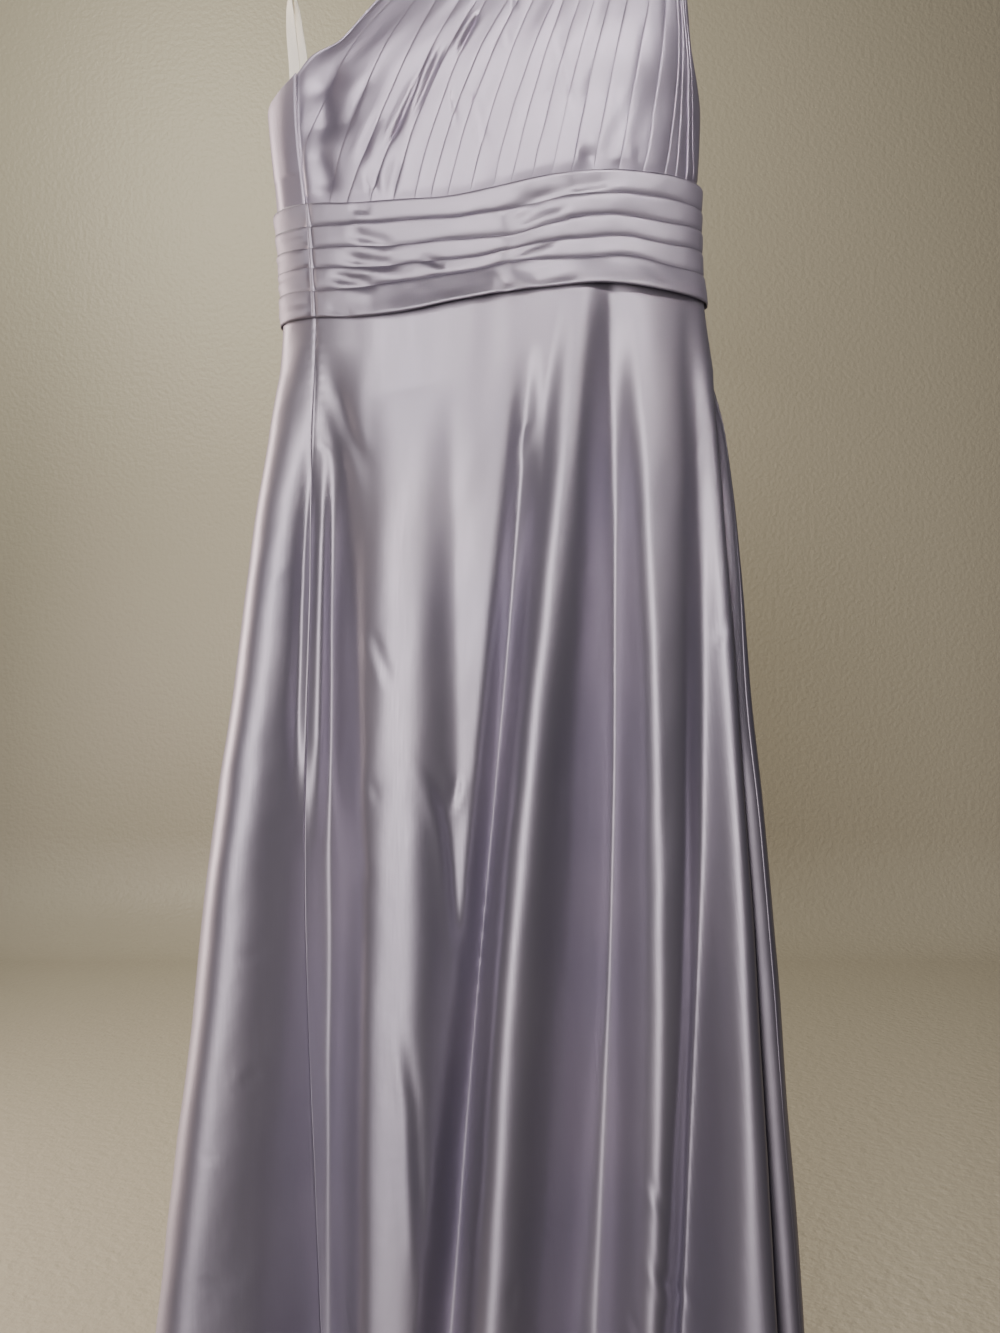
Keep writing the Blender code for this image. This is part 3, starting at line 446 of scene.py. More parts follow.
# Each drift's most, the size of a cell along the cloth and down it (in the units of what is passed), where
# its lattice begins, and the seed of its numbers.
DRIFTS = {
    "skirt sway": (0.0011, (0.045, 0.150), (0, 3), 3),
    "skirt ripple": (0.00035, (0.016, 0.060), (0, 3), 5),
    "pucker phase": (2.0, (0.03, 0.03), (3, 3), 7),
    "tuck height": (0.16, (0.035, 0.20 / 12), (1, 9 / 12), 11),
    "back band sway": (0.0008, (0.03, 0.02 / 5), (2, 9 / 5), 13),
    "band ripple": (0.0003, (0.012, 0.010), (1, 9), 17),
    "tuck slack": (0.0007, (0.045, 1.0), (5, 3), 19),
    "pleat wander": (0.0012, (9, 1 / 1.7), (0, 0), 23),
    "pleat height": (0.35, (16, 1 / 2.3), (0, 0), 29),
    "bodice ripple": (0.0006, (1 / 40, 1.3 / 40), (0, 1), 31),
    "back sway": (0.0012, (1 / 9, 1 / 9), (2 / 9, 1), 37),
    "back ripple": (0.0005, (1 / 30, 1 / 22), (2 / 30, 9 / 22), 41),
    "ribbon ripple": (0.0002, (9, 1), (0, 3), 43),
}
LATTICE = 96            # cells to a side of a drift's lattice, after which it repeats


def drift(name, u, v):
    """Smooth random heights: random numbers on a lattice, blended with 3t^2 - 2t^3."""
    most, cell, begin, seed = DRIFTS[name]
    values = most * np.random.default_rng(seed).uniform(-1, 1, (LATTICE + 1, LATTICE + 1))
    u, v = (np.asarray(u) + begin[0]) / cell[0], (np.asarray(v) + begin[1]) / cell[1]
    i, j = np.floor(u).astype(int), np.floor(v).astype(int)
    s, t = u - i, v - j
    s, t = s * s * (3 - 2 * s), t * t * (3 - 2 * t)
    i, j = i % LATTICE, j % LATTICE
    low = values[i, j] * (1 - s) + values[i + 1, j] * s
    high = values[i, j + 1] * (1 - s) + values[i + 1, j + 1] * s
    return low * (1 - t) + high * t


def uv_of(grid):
    """A UV map in metres: the length of cloth along the middle row, and down each column."""
    across = run_of(grid[len(grid) // 2])
    down = np.concatenate([np.zeros((1, grid.shape[1])), np.cumsum(step_lengths(grid, 0), axis=0)])
    return np.stack(np.broadcast_arrays(across[None, :], down), axis=-1)


def cloth_piece(name, grid, finish, node, thickness):
    """Makes the cloth: the grid's faces and a Solidify wall behind them. It stands for its solid, which it
    hides."""
    rows, columns = grid.shape[:2]
    piece = mesh_object(name, grid, quads(rows, columns), finish, uv_of(grid))
    wall = piece.modifiers.new("cloth thickness", "SOLIDIFY")
    wall.thickness = thickness
    wall.offset = -1
    wall.use_even_offset = False
    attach(piece, "root")
    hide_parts(node)


# %% [markdown]
# ## Satin
# The dress is polyester satin: in each repeat the long threads pass over four or more and under one, so
# nearly all of them lie side by side and shine together, like brushed metal with a soft edge. The eye sees
# broad, milky highlights along each roll and quick dark sides. The shader is nearer to metal than to cloth,
# with a stretched highlight across the threads. Threads are 0.1 mm wide, too fine to show, so the streaks of
# thicker yarn are drawn about a millimetre wide. The band is the same cloth cut across the grain, so its
# highlight turns the other way, and its two colours are painted darker and greyer than the skirt's: painted
# shade.


# %% Satin finishes
YARN_SCALE = (900.0, 30.0)      # streaks to a metre across the threads and along them
ROUGHNESS_SPREAD = 0.05


def satin_finish(name, face, shade, across_grain=False, roughness=0.53, shine=0.80):
    """Woven polyester satin, dyed. "face" and "shade" are its two colours, which a slow cloud mixes, and
    "shine" is how metallic it looks. The bumps are soft rumples with thicker yarns on them."""
    made, tree, place = new_material(name)
    cloth = add_node(tree, "ShaderNodeUVMap", {"uv_map": "cloth"}).outputs["UV"]
    across, down = YARN_SCALE[::-1] if across_grain else YARN_SCALE
    along = add_node(tree, "ShaderNodeMapping", inputs={"Vector": cloth, "Scale": (across, down, 1.0)})
    yarn = noise(tree, along.outputs["Vector"], 1.0, 2.0)
    tone = ranged(tree, noise(tree, place, 7.0, 1.0), 0.0, 1.0, start=0.3, end=0.7)
    mixed = {0: tone, 6: linear(face), 7: linear(shade)}
    rumples = raised(tree, noise(tree, place, 34.0, 3.0), 0.30, 0.0012)
    surface(
        tree,
        Base_Color=add_node(tree, "ShaderNodeMix", {"data_type": "RGBA"}, mixed).outputs[2],
        Metallic=shine,
        Roughness=ranged(tree, yarn, roughness - ROUGHNESS_SPREAD, roughness + ROUGHNESS_SPREAD),
        Anisotropic=0.5,
        Anisotropic_Rotation=0.0 if across_grain else 0.25,
        Tangent=add_node(
            tree, "ShaderNodeTangent", {"direction_type": "UV_MAP", "uv_map": "cloth"}
        ).outputs["Tangent"],
        Sheen_Weight=0.05,
        Sheen_Roughness=0.4,
        Normal=raised(tree, yarn, 0.10, 0.0003, rumples),
    )
    return made


skirt_satin = satin_finish("satin_of_the_skirt", "#b1abb8", "#a8a3b2")
bodice_satin = satin_finish("satin_of_the_bodice", "#b4acbd", "#aca5b6")
# The band's two colours are painted darker and greyer than the skirt's. This is painted shade for the duller
# sheen of the same satin seen across the grain.
band_satin_painted_darker = satin_finish(
    "satin_across_the_grain_painted_darker", "#9f99a6", "#958f9d", across_grain=True, roughness=0.50
)

# %% [markdown]
# ## The skirt
# Two panels meet at the side seams. The rolls begin under the band and open towards the hem, because an
# A-line panel is wider below than above. Each roll is a raised cosine that moves the cloth out of its ring,
# and a lean carries its crest sideways until it hangs over the valley beside it, which gives the long dark
# edge down the middle of the front. Rolls could also come from a cloth simulation, but then none would fall
# where it falls on the real dress, so they are listed in a table.

# %% Folds of the skirt
FOLD_COLUMNS = (
    "side", "x_waist", "x_middle", "x_hem", "start", "depth", "half_top", "half_hem", "lean", "crease"
)
FOLD_MIDDLE_Z = -0.950
FOLD_GROWTH = 0.8
CREASE_ROUNDING = 0.012
# As in the solids, but for the front's fourth fold: a softer crease leaves its line clean on this grid.
FOLDS = (
    ("front", -0.138, -0.176, -0.236, -0.56, 0.030, 0.022, 0.054, 0.000, 0.0),
    ("front", -0.100, -0.112, -0.126, -0.54, -0.078, 0.030, 0.072, 0.012, 0.4),
    ("front", -0.034, -0.042, -0.050, -0.58, 0.036, 0.036, 0.066, 0.000, -0.8),
    ("front", 0.064, 0.032, -0.026, -0.56, -0.050, 0.014, 0.030, 0.000, 0.3),
    ("front", 0.108, 0.068, 0.036, -0.51, 0.056, 0.024, 0.058, -0.020, -0.3),
    ("front", 0.128, 0.129, 0.098, -0.49, -0.058, 0.022, 0.050, 0.010, 0.6),
    ("front", 0.170, 0.164, 0.118, -0.52, 0.036, 0.032, 0.056, 0.000, -0.8),
    ("front", 0.196, 0.200, 0.176, -0.56, -0.030, 0.012, 0.034, 0.000, 0.4),
    ("front", 0.204, 0.216, 0.236, -0.49, 0.042, 0.018, 0.042, 0.010, 0.0),
    ("front", 0.214, 0.240, 0.272, -0.50, -0.034, 0.012, 0.030, 0.000, 0.0),
    ("back", 0.176, 0.196, 0.232, -0.56, 0.030, 0.030, 0.060, 0.016, 0.0),
    ("back", 0.120, 0.136, 0.162, -0.55, -0.040, 0.024, 0.044, 0.000, 0.6),
    ("back", 0.076, 0.078, 0.086, -0.60, 0.036, 0.030, 0.060, -0.020, 0.0),
    ("back", 0.030, 0.022, 0.012, -0.58, -0.042, 0.026, 0.046, 0.000, 0.6),
    ("back", -0.022, -0.040, -0.056, -0.62, 0.036, 0.030, 0.062, 0.022, 0.0),
    ("back", -0.070, -0.096, -0.124, -0.57, -0.036, 0.024, 0.044, 0.000, 0.6),
    ("back", -0.112, -0.150, -0.194, -0.60, 0.028, 0.026, 0.052, 0.000, 0.0),
)


def fold_section(distance, crease):
    """A round fold is b = (1 + cos(pi d)) / 2. A crease of 1 gives it a sharp bottom, (1 - |d|)^2 with |d|
    rounded off, and one of -1 a broad back, 1 - (1 - b)^2."""
    plain = bump(distance)
    sharp = np.clip(1 - np.sqrt(distance ** 2 + CREASE_ROUNDING), 0, 1) ** 2
    other = sharp if crease > 0 else 1 - (1 - plain) ** 2
    return (1 - abs(crease)) * plain + abs(crease) * other


def fold_shape(z, along, angles, run):
    """How far the folds move the cloth out, and how far along the ring, row by row."""
    total = run[:, -1:]
    out, shift = np.zeros_like(along), np.zeros_like(along)
    for row in FOLDS:
        fold = dict(zip(FOLD_COLUMNS, row))
        grown = ramp(-z, -fold["start"], fold["start"] - HEM_Z) ** FOLD_GROWTH
        places = [fold["x_waist"], fold["x_middle"], fold["x_hem"]]
        x = smooth(z, [WAIST_Z, FOLD_MIDDLE_Z, HEM_Z], places)
        centre = read_rows(angle_at_x(z, x, fold["side"])[:, None], angles, run)
        half = (fold["half_top"] + (fold["half_hem"] - fold["half_top"]) * grown)[:, None]
        away = (along - centre + total / 2) % total - total / 2
        raised = fold_section(away / half, fold["crease"]) * grown[:, None]
        out += raised * fold["depth"]
        shift += raised * fold["lean"] * (1 if fold["side"] == "front" else -1)
    return out, shift


# %% Edges of the waistband, which the skirt and the bodice need too
BAND_COLUMNS = ("x", "upper", "lower", "flare")
BAND_EDGES = (
    (-0.151, -0.437, -0.531, 0.000),
    (-0.120, -0.436, -0.530, 0.000),
    (-0.080, -0.439, -0.533, 0.002),
    (-0.040, -0.438, -0.531, 0.006),
    (0.000, -0.436, -0.523, 0.008),
    (0.040, -0.428, -0.516, 0.007),
    (0.080, -0.419, -0.510, 0.003),
    (0.115, -0.414, -0.507, 0.005),
    (0.165, -0.413, -0.510, 0.006),
    (0.207, -0.415, -0.513, 0.002),
)
BAND = columns_of(BAND_EDGES, BAND_COLUMNS)
FRONT_ANGLE = 1.0       # any angle of the ring's front, where only the front's edges are asked for


def band_edge(name, x, angle):
    """The band's upper or lower edge, or its flare: from the table in front, and straight across the back."""
    front = smooth(x, BAND["x"], BAND[name])
    share = ramp(x, BAND["x"][0], BAND["x"][-1] - BAND["x"][0])
    behind = BAND[name][0] + (BAND[name][-1] - BAND[name][0]) * share
    return np.where(np.sin(angle) >= 0, front, behind)


# %% Creases of the skirt
# In millimetres: a crease's half width, its depth (less than nothing for a ridge), the low ridge beside it as
# a share of the depth, and the X and Z of the points of its line.
SKIRT_CREASES = (
    (7.5, -8.5, 0.0, (-99, -585), (-107, -690), (-112, -840), (-114, -990)),
    (6, 5, 0.0, (-117, -600), (-120, -680), (-126, -840), (-130, -950)),
    (5, 1.4, 0.7, (-25, -874), (-4, -930), (3, -999), (12, -1073)), (4, 1.2, 0.6, (-4, -930), (6, -894)),
    (5.5, 1.1, -0.6, (-85, -905), (-77, -952), (-61, -993)), (3.5, 0.7, 0.5, (-68, -900), (-55, -915)),
    (5, 1.2, 0.7, (-44, -1066), (-32, -1112), (-23, -1224), (-17, -1317)),
    (6, 1.3, 0.6, (-100, -566), (-88, -608), (-63, -667)), (3, 0.6, 0.5, (-110, -627), (-97, -642)),
    (4.5, 0.8, 0.6, (-66, -777), (-45, -832)), (3, 0.8, 0.6, (210, -796), (223, -770)),
    (2.5, 0.7, 0.6, (123, -812), (138, -808)), (2.5, 0.7, 0.6, (117, -823), (133, -819)),
    (3, 0.6, 0.6, (93, -732), (108, -719)), (4, 1, 0.6, (48, -650), (58, -612)),
    (3, 0.8, 0.6, (13, -1251), (28, -1264)), (3, 0.8, 0.6, (45, -1296), (50, -1268)),
    (4.5, 1.2, 0.7, (148, -1256), (200, -1336)), (3, 0.8, 0.6, (137, -1308), (148, -1334)),
    (3.5, 0.8, 0.6, (152, -1203), (166, -1235)), (3, 0.8, 0.6, (-201, -1296), (-172, -1307)),
    (3, 0.7, 0.6, (-83, -1311), (-72, -1329)),
)
SIDE_CREASES = (
    (3.5, 0.8, 0.6, (-118, -723), (-146, -751)), (3.5, 0.8, 0.6, (-172, -1046), (-145, -1039)),
    (4, 0.9, 0.6, (-154, -1128), (-172, -1153)), (3, 0.7, 0.6, (-197, -1205), (-189, -1199)),
    (3, 0.8, 0.6, (195, -635), (210, -624)),
)
BACK_CREASES = (
    (5, 1.2, 0.7, (60, -700), (46, -770), (50, -840)), (5, 1.2, 0.7, (-30, -905), (-12, -960), (-4, -1040)),
    (4.5, 1, 0.6, (-110, -640), (-90, -700)), (5, 1.1, -0.6, (120, -980), (108, -1050), (116, -1130)),
    (5, 1.1, 0.7, (-80, -1180), (-60, -1250), (-58, -1330)), (4, 0.9, 0.6, (40, -1290), (58, -1340)),
    (3.5, 0.8, 0.6, (150, -720), (164, -760)), (4, 0.9, 0.6, (0, -620), (10, -668)),
    (3.5, 0.8, 0.6, (-150, -1000), (-134, -1040)), (4.5, 1, 0.6, (180, -1300), (196, -1380)),
)

# %% The skirt's grid
SKIRT_HIDDEN = np.array([0.035, 0.018, 0.006])     # rows under the band, above its lower edge
SKIRT_TOP_SHARE, SKIRT_TOP_ROWS, SKIRT_ROWS = 0.10, 52, 186    # closer rows in the top tenth
FRONT_PANEL, BACK_PANEL = (168, 0.45), (140, 0.42)             # even columns, and width at the waist
GATHER_SHARE = 0.12     # share of the height over which the columns even out
SEAM_STEPS = np.array([0.0008, 0.0016, 0.0026, 0.0040, 0.0060, 0.0085])  # columns beside a seam
SEAM_CLEAR = 1.15       # even columns start this many times the last step away


def panel_shares(count, width):
    """Even shares of a panel, with more columns beside its two seams."""
    near, even = SEAM_STEPS / width, np.linspace(0, 1, count + 1)
    inner = even[(even > SEAM_CLEAR * near[-1]) & (even < 1 - SEAM_CLEAR * near[-1])]
    return np.concatenate([[0], near, inner, 1 - near[::-1], [1]])


def skirt_rings():
    """The closed grid of the whole skirt, the number of columns in its front, and for each point its distance
    from the nearest side seam and its place along the ring, both measured along the cloth."""
    front, back = panel_shares(*FRONT_PANEL), panel_shares(*BACK_PANEL)
    (left,), (right,) = seam_angles(WAIST_Z)
    top_angles = np.concatenate(
        [
            spaced_angles(WAIST_Z, left, right, front)[:-1],
            spaced_angles(WAIST_Z, right, 2 * math.pi + left, back)[:-1],
        ]
    )
    top_x = ring_point(WAIST_Z, top_angles)[:, 0]
    edge_z = band_edge("lower", top_x, top_angles)
    shares = np.concatenate(
        [np.linspace(0, SKIRT_TOP_SHARE, SKIRT_TOP_ROWS)[:-1], np.linspace(SKIRT_TOP_SHARE, 1, SKIRT_ROWS)]
    )
    z = np.concatenate([edge_z + SKIRT_HIDDEN[:, None], edge_z + (HEM_Z - edge_z) * shares[:, None]])
    share = np.concatenate([0 * SKIRT_HIDDEN, shares])[:, None]
    level = z.mean(axis=1)
    angles, run = ring_measures(level)
    seams = np.stack(seam_angles(level), axis=1)
    ends = read_rows(seams, angles, run)
    left, right, total = ends[:, :1], ends[:, 1:], run[:, -1:]
    even = np.concatenate(
        [left + (right - left) * front[:-1], right + (total + left - right) * back[:-1]], axis=1
    )
    top = read_rows(np.broadcast_to(top_angles % (2 * math.pi), even.shape), angles, run)
    top = top + total * (top_angles >= 2 * math.pi)
    along = top + (even - top) * ramp(share, 0, GATHER_SHARE)
    out, shift = fold_shape(level, along % total, angles, run)
    turned = read_rows((along + shift) % total, run, angles)
    grid = ring_point(z, turned, out)
    from_seam = np.minimum(np.abs(along - left), np.abs(along - right))
    return grid, len(front) - 1, np.minimum(from_seam, np.abs(total + left - along)), along


SEAM_DIP, SEAM_HALF = 0.0007, 0.0016    # how far a seam sinks in, and half its width
SEAM_LEAST = 0.25       # share of that dip where the skirt's weight has pulled the seam nearly flat,
SEAM_FADE_Z, SEAM_FADE_RUN = -0.950, 0.4    # which is below this height, and the way up to the whole dip
PUCKER_RISE, PUCKER_HALF, PUCKER_LENGTH = 0.00045, 0.0050, 0.0085
PUCKER_END_Z, PUCKER_FADE_RUN = -0.640, 0.06
HEM_STITCH, HEM_DIP, HEM_HALF = 0.022, 0.00035, 0.0030  # the blind hem's line above the edge, and its groove
SWAY_RUN = 0.15         # the sway grows over this way down from the waist
FRONT_TURN = 3          # creases go over from the front's to the back's within a third of a unit normal


def finish_skirt(grid, from_seam, along):
    """Adds what the rolls leave out, along the normal: creases, the slow drift, seams that sink in with
    puckers beside them, and the faint line of the hem."""
    normal = facing_out(grid, closed=True)
    x, z = grid[..., 0], grid[..., 2]
    facing_front = np.clip(0.5 - normal[..., 1] * FRONT_TURN, 0, 1)
    move = furrow(x, z, SKIRT_CREASES + SIDE_CREASES) * facing_front
    move += furrow(x, z, BACK_CREASES) * (1 - facing_front)
    move += ramp(-z, -WAIST_Z, SWAY_RUN) * drift("skirt sway", along, z)
    move += drift("skirt ripple", along, z)
    seam = bell(from_seam, SEAM_HALF)
    top = ramp(z, PUCKER_END_Z, PUCKER_FADE_RUN)
    wave = np.sin(2 * math.pi * z / PUCKER_LENGTH + drift("pucker phase", z, z))
    move += PUCKER_RISE * top * wave * bell(from_seam, PUCKER_HALF) * (1 - seam)
    move -= SEAM_DIP * seam * (SEAM_LEAST + (1 - SEAM_LEAST) * ramp(z, SEAM_FADE_Z, SEAM_FADE_RUN))
    move -= HEM_DIP * bell(z, HEM_HALF, HEM_Z + HEM_STITCH)
    return grid + normal * move[..., None]


rough, front_columns, from_seam, along = skirt_rings()
skirt = finish_skirt(rough, from_seam, along)
front_grid = skirt[:, :front_columns + 1]
back_grid = np.concatenate([skirt[:, front_columns:], skirt[:, :1]], axis=1)
SKIRT_CLOTH = 0.0010    # thickness
cloth_piece(
    "front_panel", front_grid, skirt_satin, "skirt_front", SKIRT_CLOTH
)
cloth_piece(
    "back_panel", back_grid, skirt_satin, "skirt_back", SKIRT_CLOTH
)

# %% [markdown]
# ## The waistband
# The band is one strip of satin laid in five knife tucks, then caught at the side seams. The cloth runs down
# the face of a tuck, on behind the next fold, turns back up inside it and rolls over its edge, so that each
# fold throws a fine shadow on the tuck above. A profile with that turn in it is carried round the ring. The
# folds aren't level: their places come from a table of shares of the band's height.

# %% Tucks
TUCK_COLUMNS = ("x", "second", "third", "fourth", "fifth")
TUCK_LINES = (
    (-0.151, 0.170, 0.345, 0.525, 0.715),
    (-0.115, 0.190, 0.380, 0.550, 0.750),
    (-0.084, 0.169, 0.366, 0.534, 0.727),
    (-0.051, 0.180, 0.382, 0.547, 0.700),
    (-0.008, 0.184, 0.390, 0.560, 0.700),
    (0.020, 0.205, 0.420, 0.585, 0.705),
    (0.046, 0.219, 0.448, 0.570, 0.690),
    (0.079, 0.207, 0.410, 0.559, 0.722),
    (0.111, 0.194, 0.387, 0.563, 0.732),
    (0.144, 0.188, 0.371, 0.540, 0.708),
    (0.170, 0.187, 0.387, 0.567, 0.740),
    (0.207, 0.200, 0.369, 0.550, 0.744),
)
TUCKS = columns_of(TUCK_LINES, TUCK_COLUMNS)
TUCK_PROUD = 0.0036

# One tuck: where the profile is, as a share of the way to the next fold, and how far out, as a share of
# TUCK_PROUD. It starts at the bottom of the turn behind its own fold.
TUCK_DOWN, TUCK_OUT = np.array([
    (0.15, 0.08), (0.09, 0.13), (0.04, 0.22), (0.012, 0.42), (0, 0.70), (0.012, 0.88), (0.05, 0.97),
    (0.12, 1), (0.22, 1), (0.34, 0.98), (0.46, 0.96), (0.58, 0.93), (0.70, 0.89), (0.81, 0.82), (0.91, 0.64),
    (1, 0.36), (1.08, 0.16),
]).T

# Creases across the tucks, as for the skirt.
BAND_CREASES = (
    (5.5, 2.4, 0.4, (-86, -462), (-66, -468), (-42, -475)),
    (5.5, 2.4, 0.4, (-96, -479), (-68, -486), (-36, -490)), (4, 1.6, 0.5, (-30, -483), (-4, -491)),
    (5.5, 2.4, 0.4, (-106, -495), (-82, -501), (-56, -507)), (5, 1.6, 0.4, (-108, -522), (-78, -530)),
    (4, 1.2, 0.4, (-82, -443), (-60, -446)), (5.5, 2, -0.4, (127, -428), (82, -433), (48, -447)),
    (6, 2.4, -0.5, (100, -440), (70, -448), (42, -464)), (5, 2, -0.5, (92, -466), (66, -474), (40, -487)),
    (5.5, 2, -0.5, (104, -496), (80, -500), (52, -510)), (5.5, 2, 0.4, (44, -498), (36, -520)),
    (5.5, 2.4, -0.4, (136, -423.5), (112, -425), (84, -429)), (5, 0.6, 0.8, (47, -425), (45, -520)),
)


SEAM_RIDGE, SEAM_CATCH = 0.0026, 0.0024     # how far out the cloth is caught at a seam, and how far along
BAND_EVEN = {"front": 210, "back": 170}     # even columns of each strip
BAND_WIDTH = 0.33
BAND_CLOTH = 0.0006
FLARE_START = 0.6       # share of the band's height where it begins to stand off the skirt
SEAM_PROUD, SEAM_PROUD_X, SEAM_PROUD_RUN = 0.55, -0.150, 0.05   # the tucks are flatter at the left seam
SLACK_FADE = 1 / 8      # a fold wanders freely from this share of the band's height inside its edges
SEAM_LIP, SEAM_LIP_HALF = 0.0003, 0.0012    # a seam's pressed ridge,
SEAM_GROOVE, SEAM_GROOVE_AWAY, SEAM_GROOVE_HALF = 0.0008, 0.0022, 0.0010    # and the groove beside it


def seam_relief(away, in_front):
    """A seam whose allowances are pressed under the back: ridge * exp(-(d/w)^2), and on the side in front a
    groove of -depth * exp(-((d - away) / w)^2) too, with d the distance from the seam."""
    lip = SEAM_LIP * bell(away, SEAM_LIP_HALF)
    return lip - SEAM_GROOVE * bell(away, SEAM_GROOVE_HALF, SEAM_GROOVE_AWAY) if in_front else lip


def tuck_profile(x):
    """Shares of the band's height down its face, and how far out the cloth is there, for every column."""
    starts = np.stack([0 * x] + [smooth(x, TUCKS["x"], TUCKS[n]) for n in TUCK_COLUMNS[1:]] + [1 + 0 * x])
    height = starts[1:] - starts[:-1]
    shares = starts[:-1, None] + height[:, None] * TUCK_DOWN[None, :, None]
    out = np.broadcast_to(TUCK_OUT[None, :, None], shares.shape).copy()
    shares = shares.reshape(-1, len(x))
    out = out.reshape(-1, len(x))
    # The first fold is the band's own upper edge and the last tuck ends at its lower edge.
    return np.minimum(shares, 1.0)[:-2], out[:-2]


def band_grid(name, first, last):
    """The tuck profile carried along the ring at the band's middle height, with its edges, its flare, its
    creases and its slack, and caught at both seams."""
    angle = spaced_angles(band_level, first, last, panel_shares(BAND_EVEN[name], BAND_WIDTH))
    middle = ring_point(band_level, angle)
    x = middle[..., 0]
    shares, out = tuck_profile(x)
    upper, lower = band_edge("upper", x, angle), band_edge("lower", x, angle)
    z = upper + (lower - upper) * shares
    flare = band_edge("flare", x, angle) * ramp(shares, FLARE_START, 1 - FLARE_START) ** 2
    run = run_of(middle)
    from_seam = np.minimum(run, run[-1] - run)
    away_left = ramp(x, SEAM_PROUD_X, SEAM_PROUD_RUN)
    proud = TUCK_PROUD * (1 + drift("tuck height", run, z)) * (SEAM_PROUD + (1 - SEAM_PROUD) * away_left)
    move = furrow(x, z, BAND_CREASES) if name == "front" else drift("back band sway", run, z)
    move += drift("band ripple", run, z)
    inside = ramp(shares, 0, SLACK_FADE) * ramp(1 - shares, 0, SLACK_FADE)
    z = z + drift("tuck slack", run, np.floor(shares * 5)) * inside
    lifted = proud * out + flare + move * np.clip(out, 0, 1)
    lifted += (SEAM_RIDGE - lifted) * bell(from_seam, SEAM_CATCH)
    lifted += seam_relief(from_seam, name == "front")
    return ring_point(z, angle, CLOTH_GAP + lifted)


band_level = float(np.mean(BAND["upper"] + BAND["lower"]) / 2)
(band_left,), (band_right,) = seam_angles(band_level)
front_band = band_grid("front", band_left, band_right)
back_band = band_grid("back", band_right, 2 * math.pi + band_left)
cloth_piece(
    "front_band", front_band, band_satin_painted_darker, "waistband_front", BAND_CLOTH,
)
cloth_piece(
    "back_band", back_band, band_satin_painted_darker, "waistband_back", BAND_CLOTH
)

# %% [markdown]
# ## The bodice
# The front is satin laid in some twenty knife pleats that fan from the one shoulder over the bust to the
# band. Each pleat's fold faces left and lies on its neighbour, like a tuck stood on end. The pleats were
# pressed and then worn, so their folds wander and some have sprung open into dark slits. Their places at six
# heights are in a table. The back is plain satin on the same rings, drawn in towards the neckline.

# %% Edges of the bodice
SHOULDER_INNER, SHOULDER_OUTER = (0.070, -0.1274), (0.186, -0.1651)
STRAP_OUT, STRAP_BELOW = 0.0078, 0.0066     # where the strap leaves the arm, from the shoulder seam
OVER_OUT, OVER_BELOW = 0.0054, 0.0017       # and where it bends over the arm
UNDERARM_RIGHT_Z, UNDERARM_LEFT_Z, UNDERARM_RUN = -0.347, -0.331, 0.300     # the run between them
BODICE_UNDER_BAND, RELEASE = 0.014, 0.010   # how far it goes in under the band, and how soon it's free
DRAWN_IN = 0.0024       # how far the band holds it in there
PLEAT_RISE, PLEAT_STEEPEST = 0.0012, 0.38   # how far a fold stands out, and the most of it to a pleat's width
PLEAT_SWEEP = 1.25      # a power that moves the grid's columns to the left low down, as the pleats lean
PLEAT_CROWD, PLEAT_EVEN = (1.3, 2.0), 0.3       # powers that crowd them to the arm at the strap, in part
SIDE_REACH = 1.6        # a power by which the neckline's and the armhole's bends fade across the front
NECKLINE_FRONT = (
    (-0.115, -0.039, -0.319),
    (-0.091, -0.043, -0.308),
    (-0.078, -0.044, -0.295),
    (-0.060, -0.044, -0.275),
    (0.013, -0.033, -0.207),
)
ARMHOLE_FRONT = (
    (0.198, -0.014, -0.331),
    (0.192, -0.024, -0.311),
    (0.190, -0.026, -0.280),
    (0.190, -0.019, -0.215),
)
NECKLINE_BACK = (
    (0.020, 0.031, -0.200),
    (-0.050, 0.038, -0.268),
    (-0.105, 0.036, -0.322),
    (-0.140, 0.024, -0.343),
    (-0.1555, 0.000, -0.347),
    (-0.143, -0.021, -0.340),
)
ARMHOLE_BACK = (
    (0.199, 0.016, -0.331),
    (0.193, 0.024, -0.308),
    (0.189, 0.026, -0.275),
    (0.189, 0.019, -0.215),
)
SHOULDER_SHARE = 0.28   # share of the back's width that runs up to the strap


def shoulder_line(shares, side):
    """The strap just below the shoulder seam, from its neck end to its armhole end. side is -1 in front."""
    inner, outer = np.array(SHOULDER_INNER), np.array(SHOULDER_OUTER)
    xz = inner + (outer - inner) * np.asarray(shares)[:, None]
    return np.stack([xz[:, 0], np.full(len(xz), side * STRAP_OUT), xz[:, 1] - STRAP_BELOW], axis=-1)


def wrap_over_arm(strap, side):
    """The rows that carry the strap up over the hanger's arm to the seam."""
    seam = strap + np.array([0, -side * STRAP_OUT, STRAP_BELOW])
    return np.array([seam + np.array([0, side * OVER_OUT, -OVER_BELOW]), seam])


def bodice_ring_rows(first, last, shares, heights, sweep=1.0):
    """Rows from under the band up to the underarm, drawn in where the band covers them."""
    rows = []
    for height in heights:
        swept = shares ** (sweep + (1 - sweep) * height)
        angle = spaced_angles(UNDERARM_RIGHT_Z, first, last, swept)
        x = ring_point(UNDERARM_RIGHT_Z, angle)[:, 0]
        bottom = band_edge("upper", x, angle) - BODICE_UNDER_BAND
        across = ramp(x, SECTION["seam_x"][0], UNDERARM_RUN)
        top = UNDERARM_LEFT_Z + (UNDERARM_RIGHT_Z - UNDERARM_LEFT_Z) * across
        z = bottom + (top - bottom) * height
        covered = 1 - ramp(z, bottom + BODICE_UNDER_BAND, RELEASE)
        rows.append(ring_point(z, angle, -(DRAWN_IN + CLOTH_GAP / 2) * covered))
    return np.array(rows)


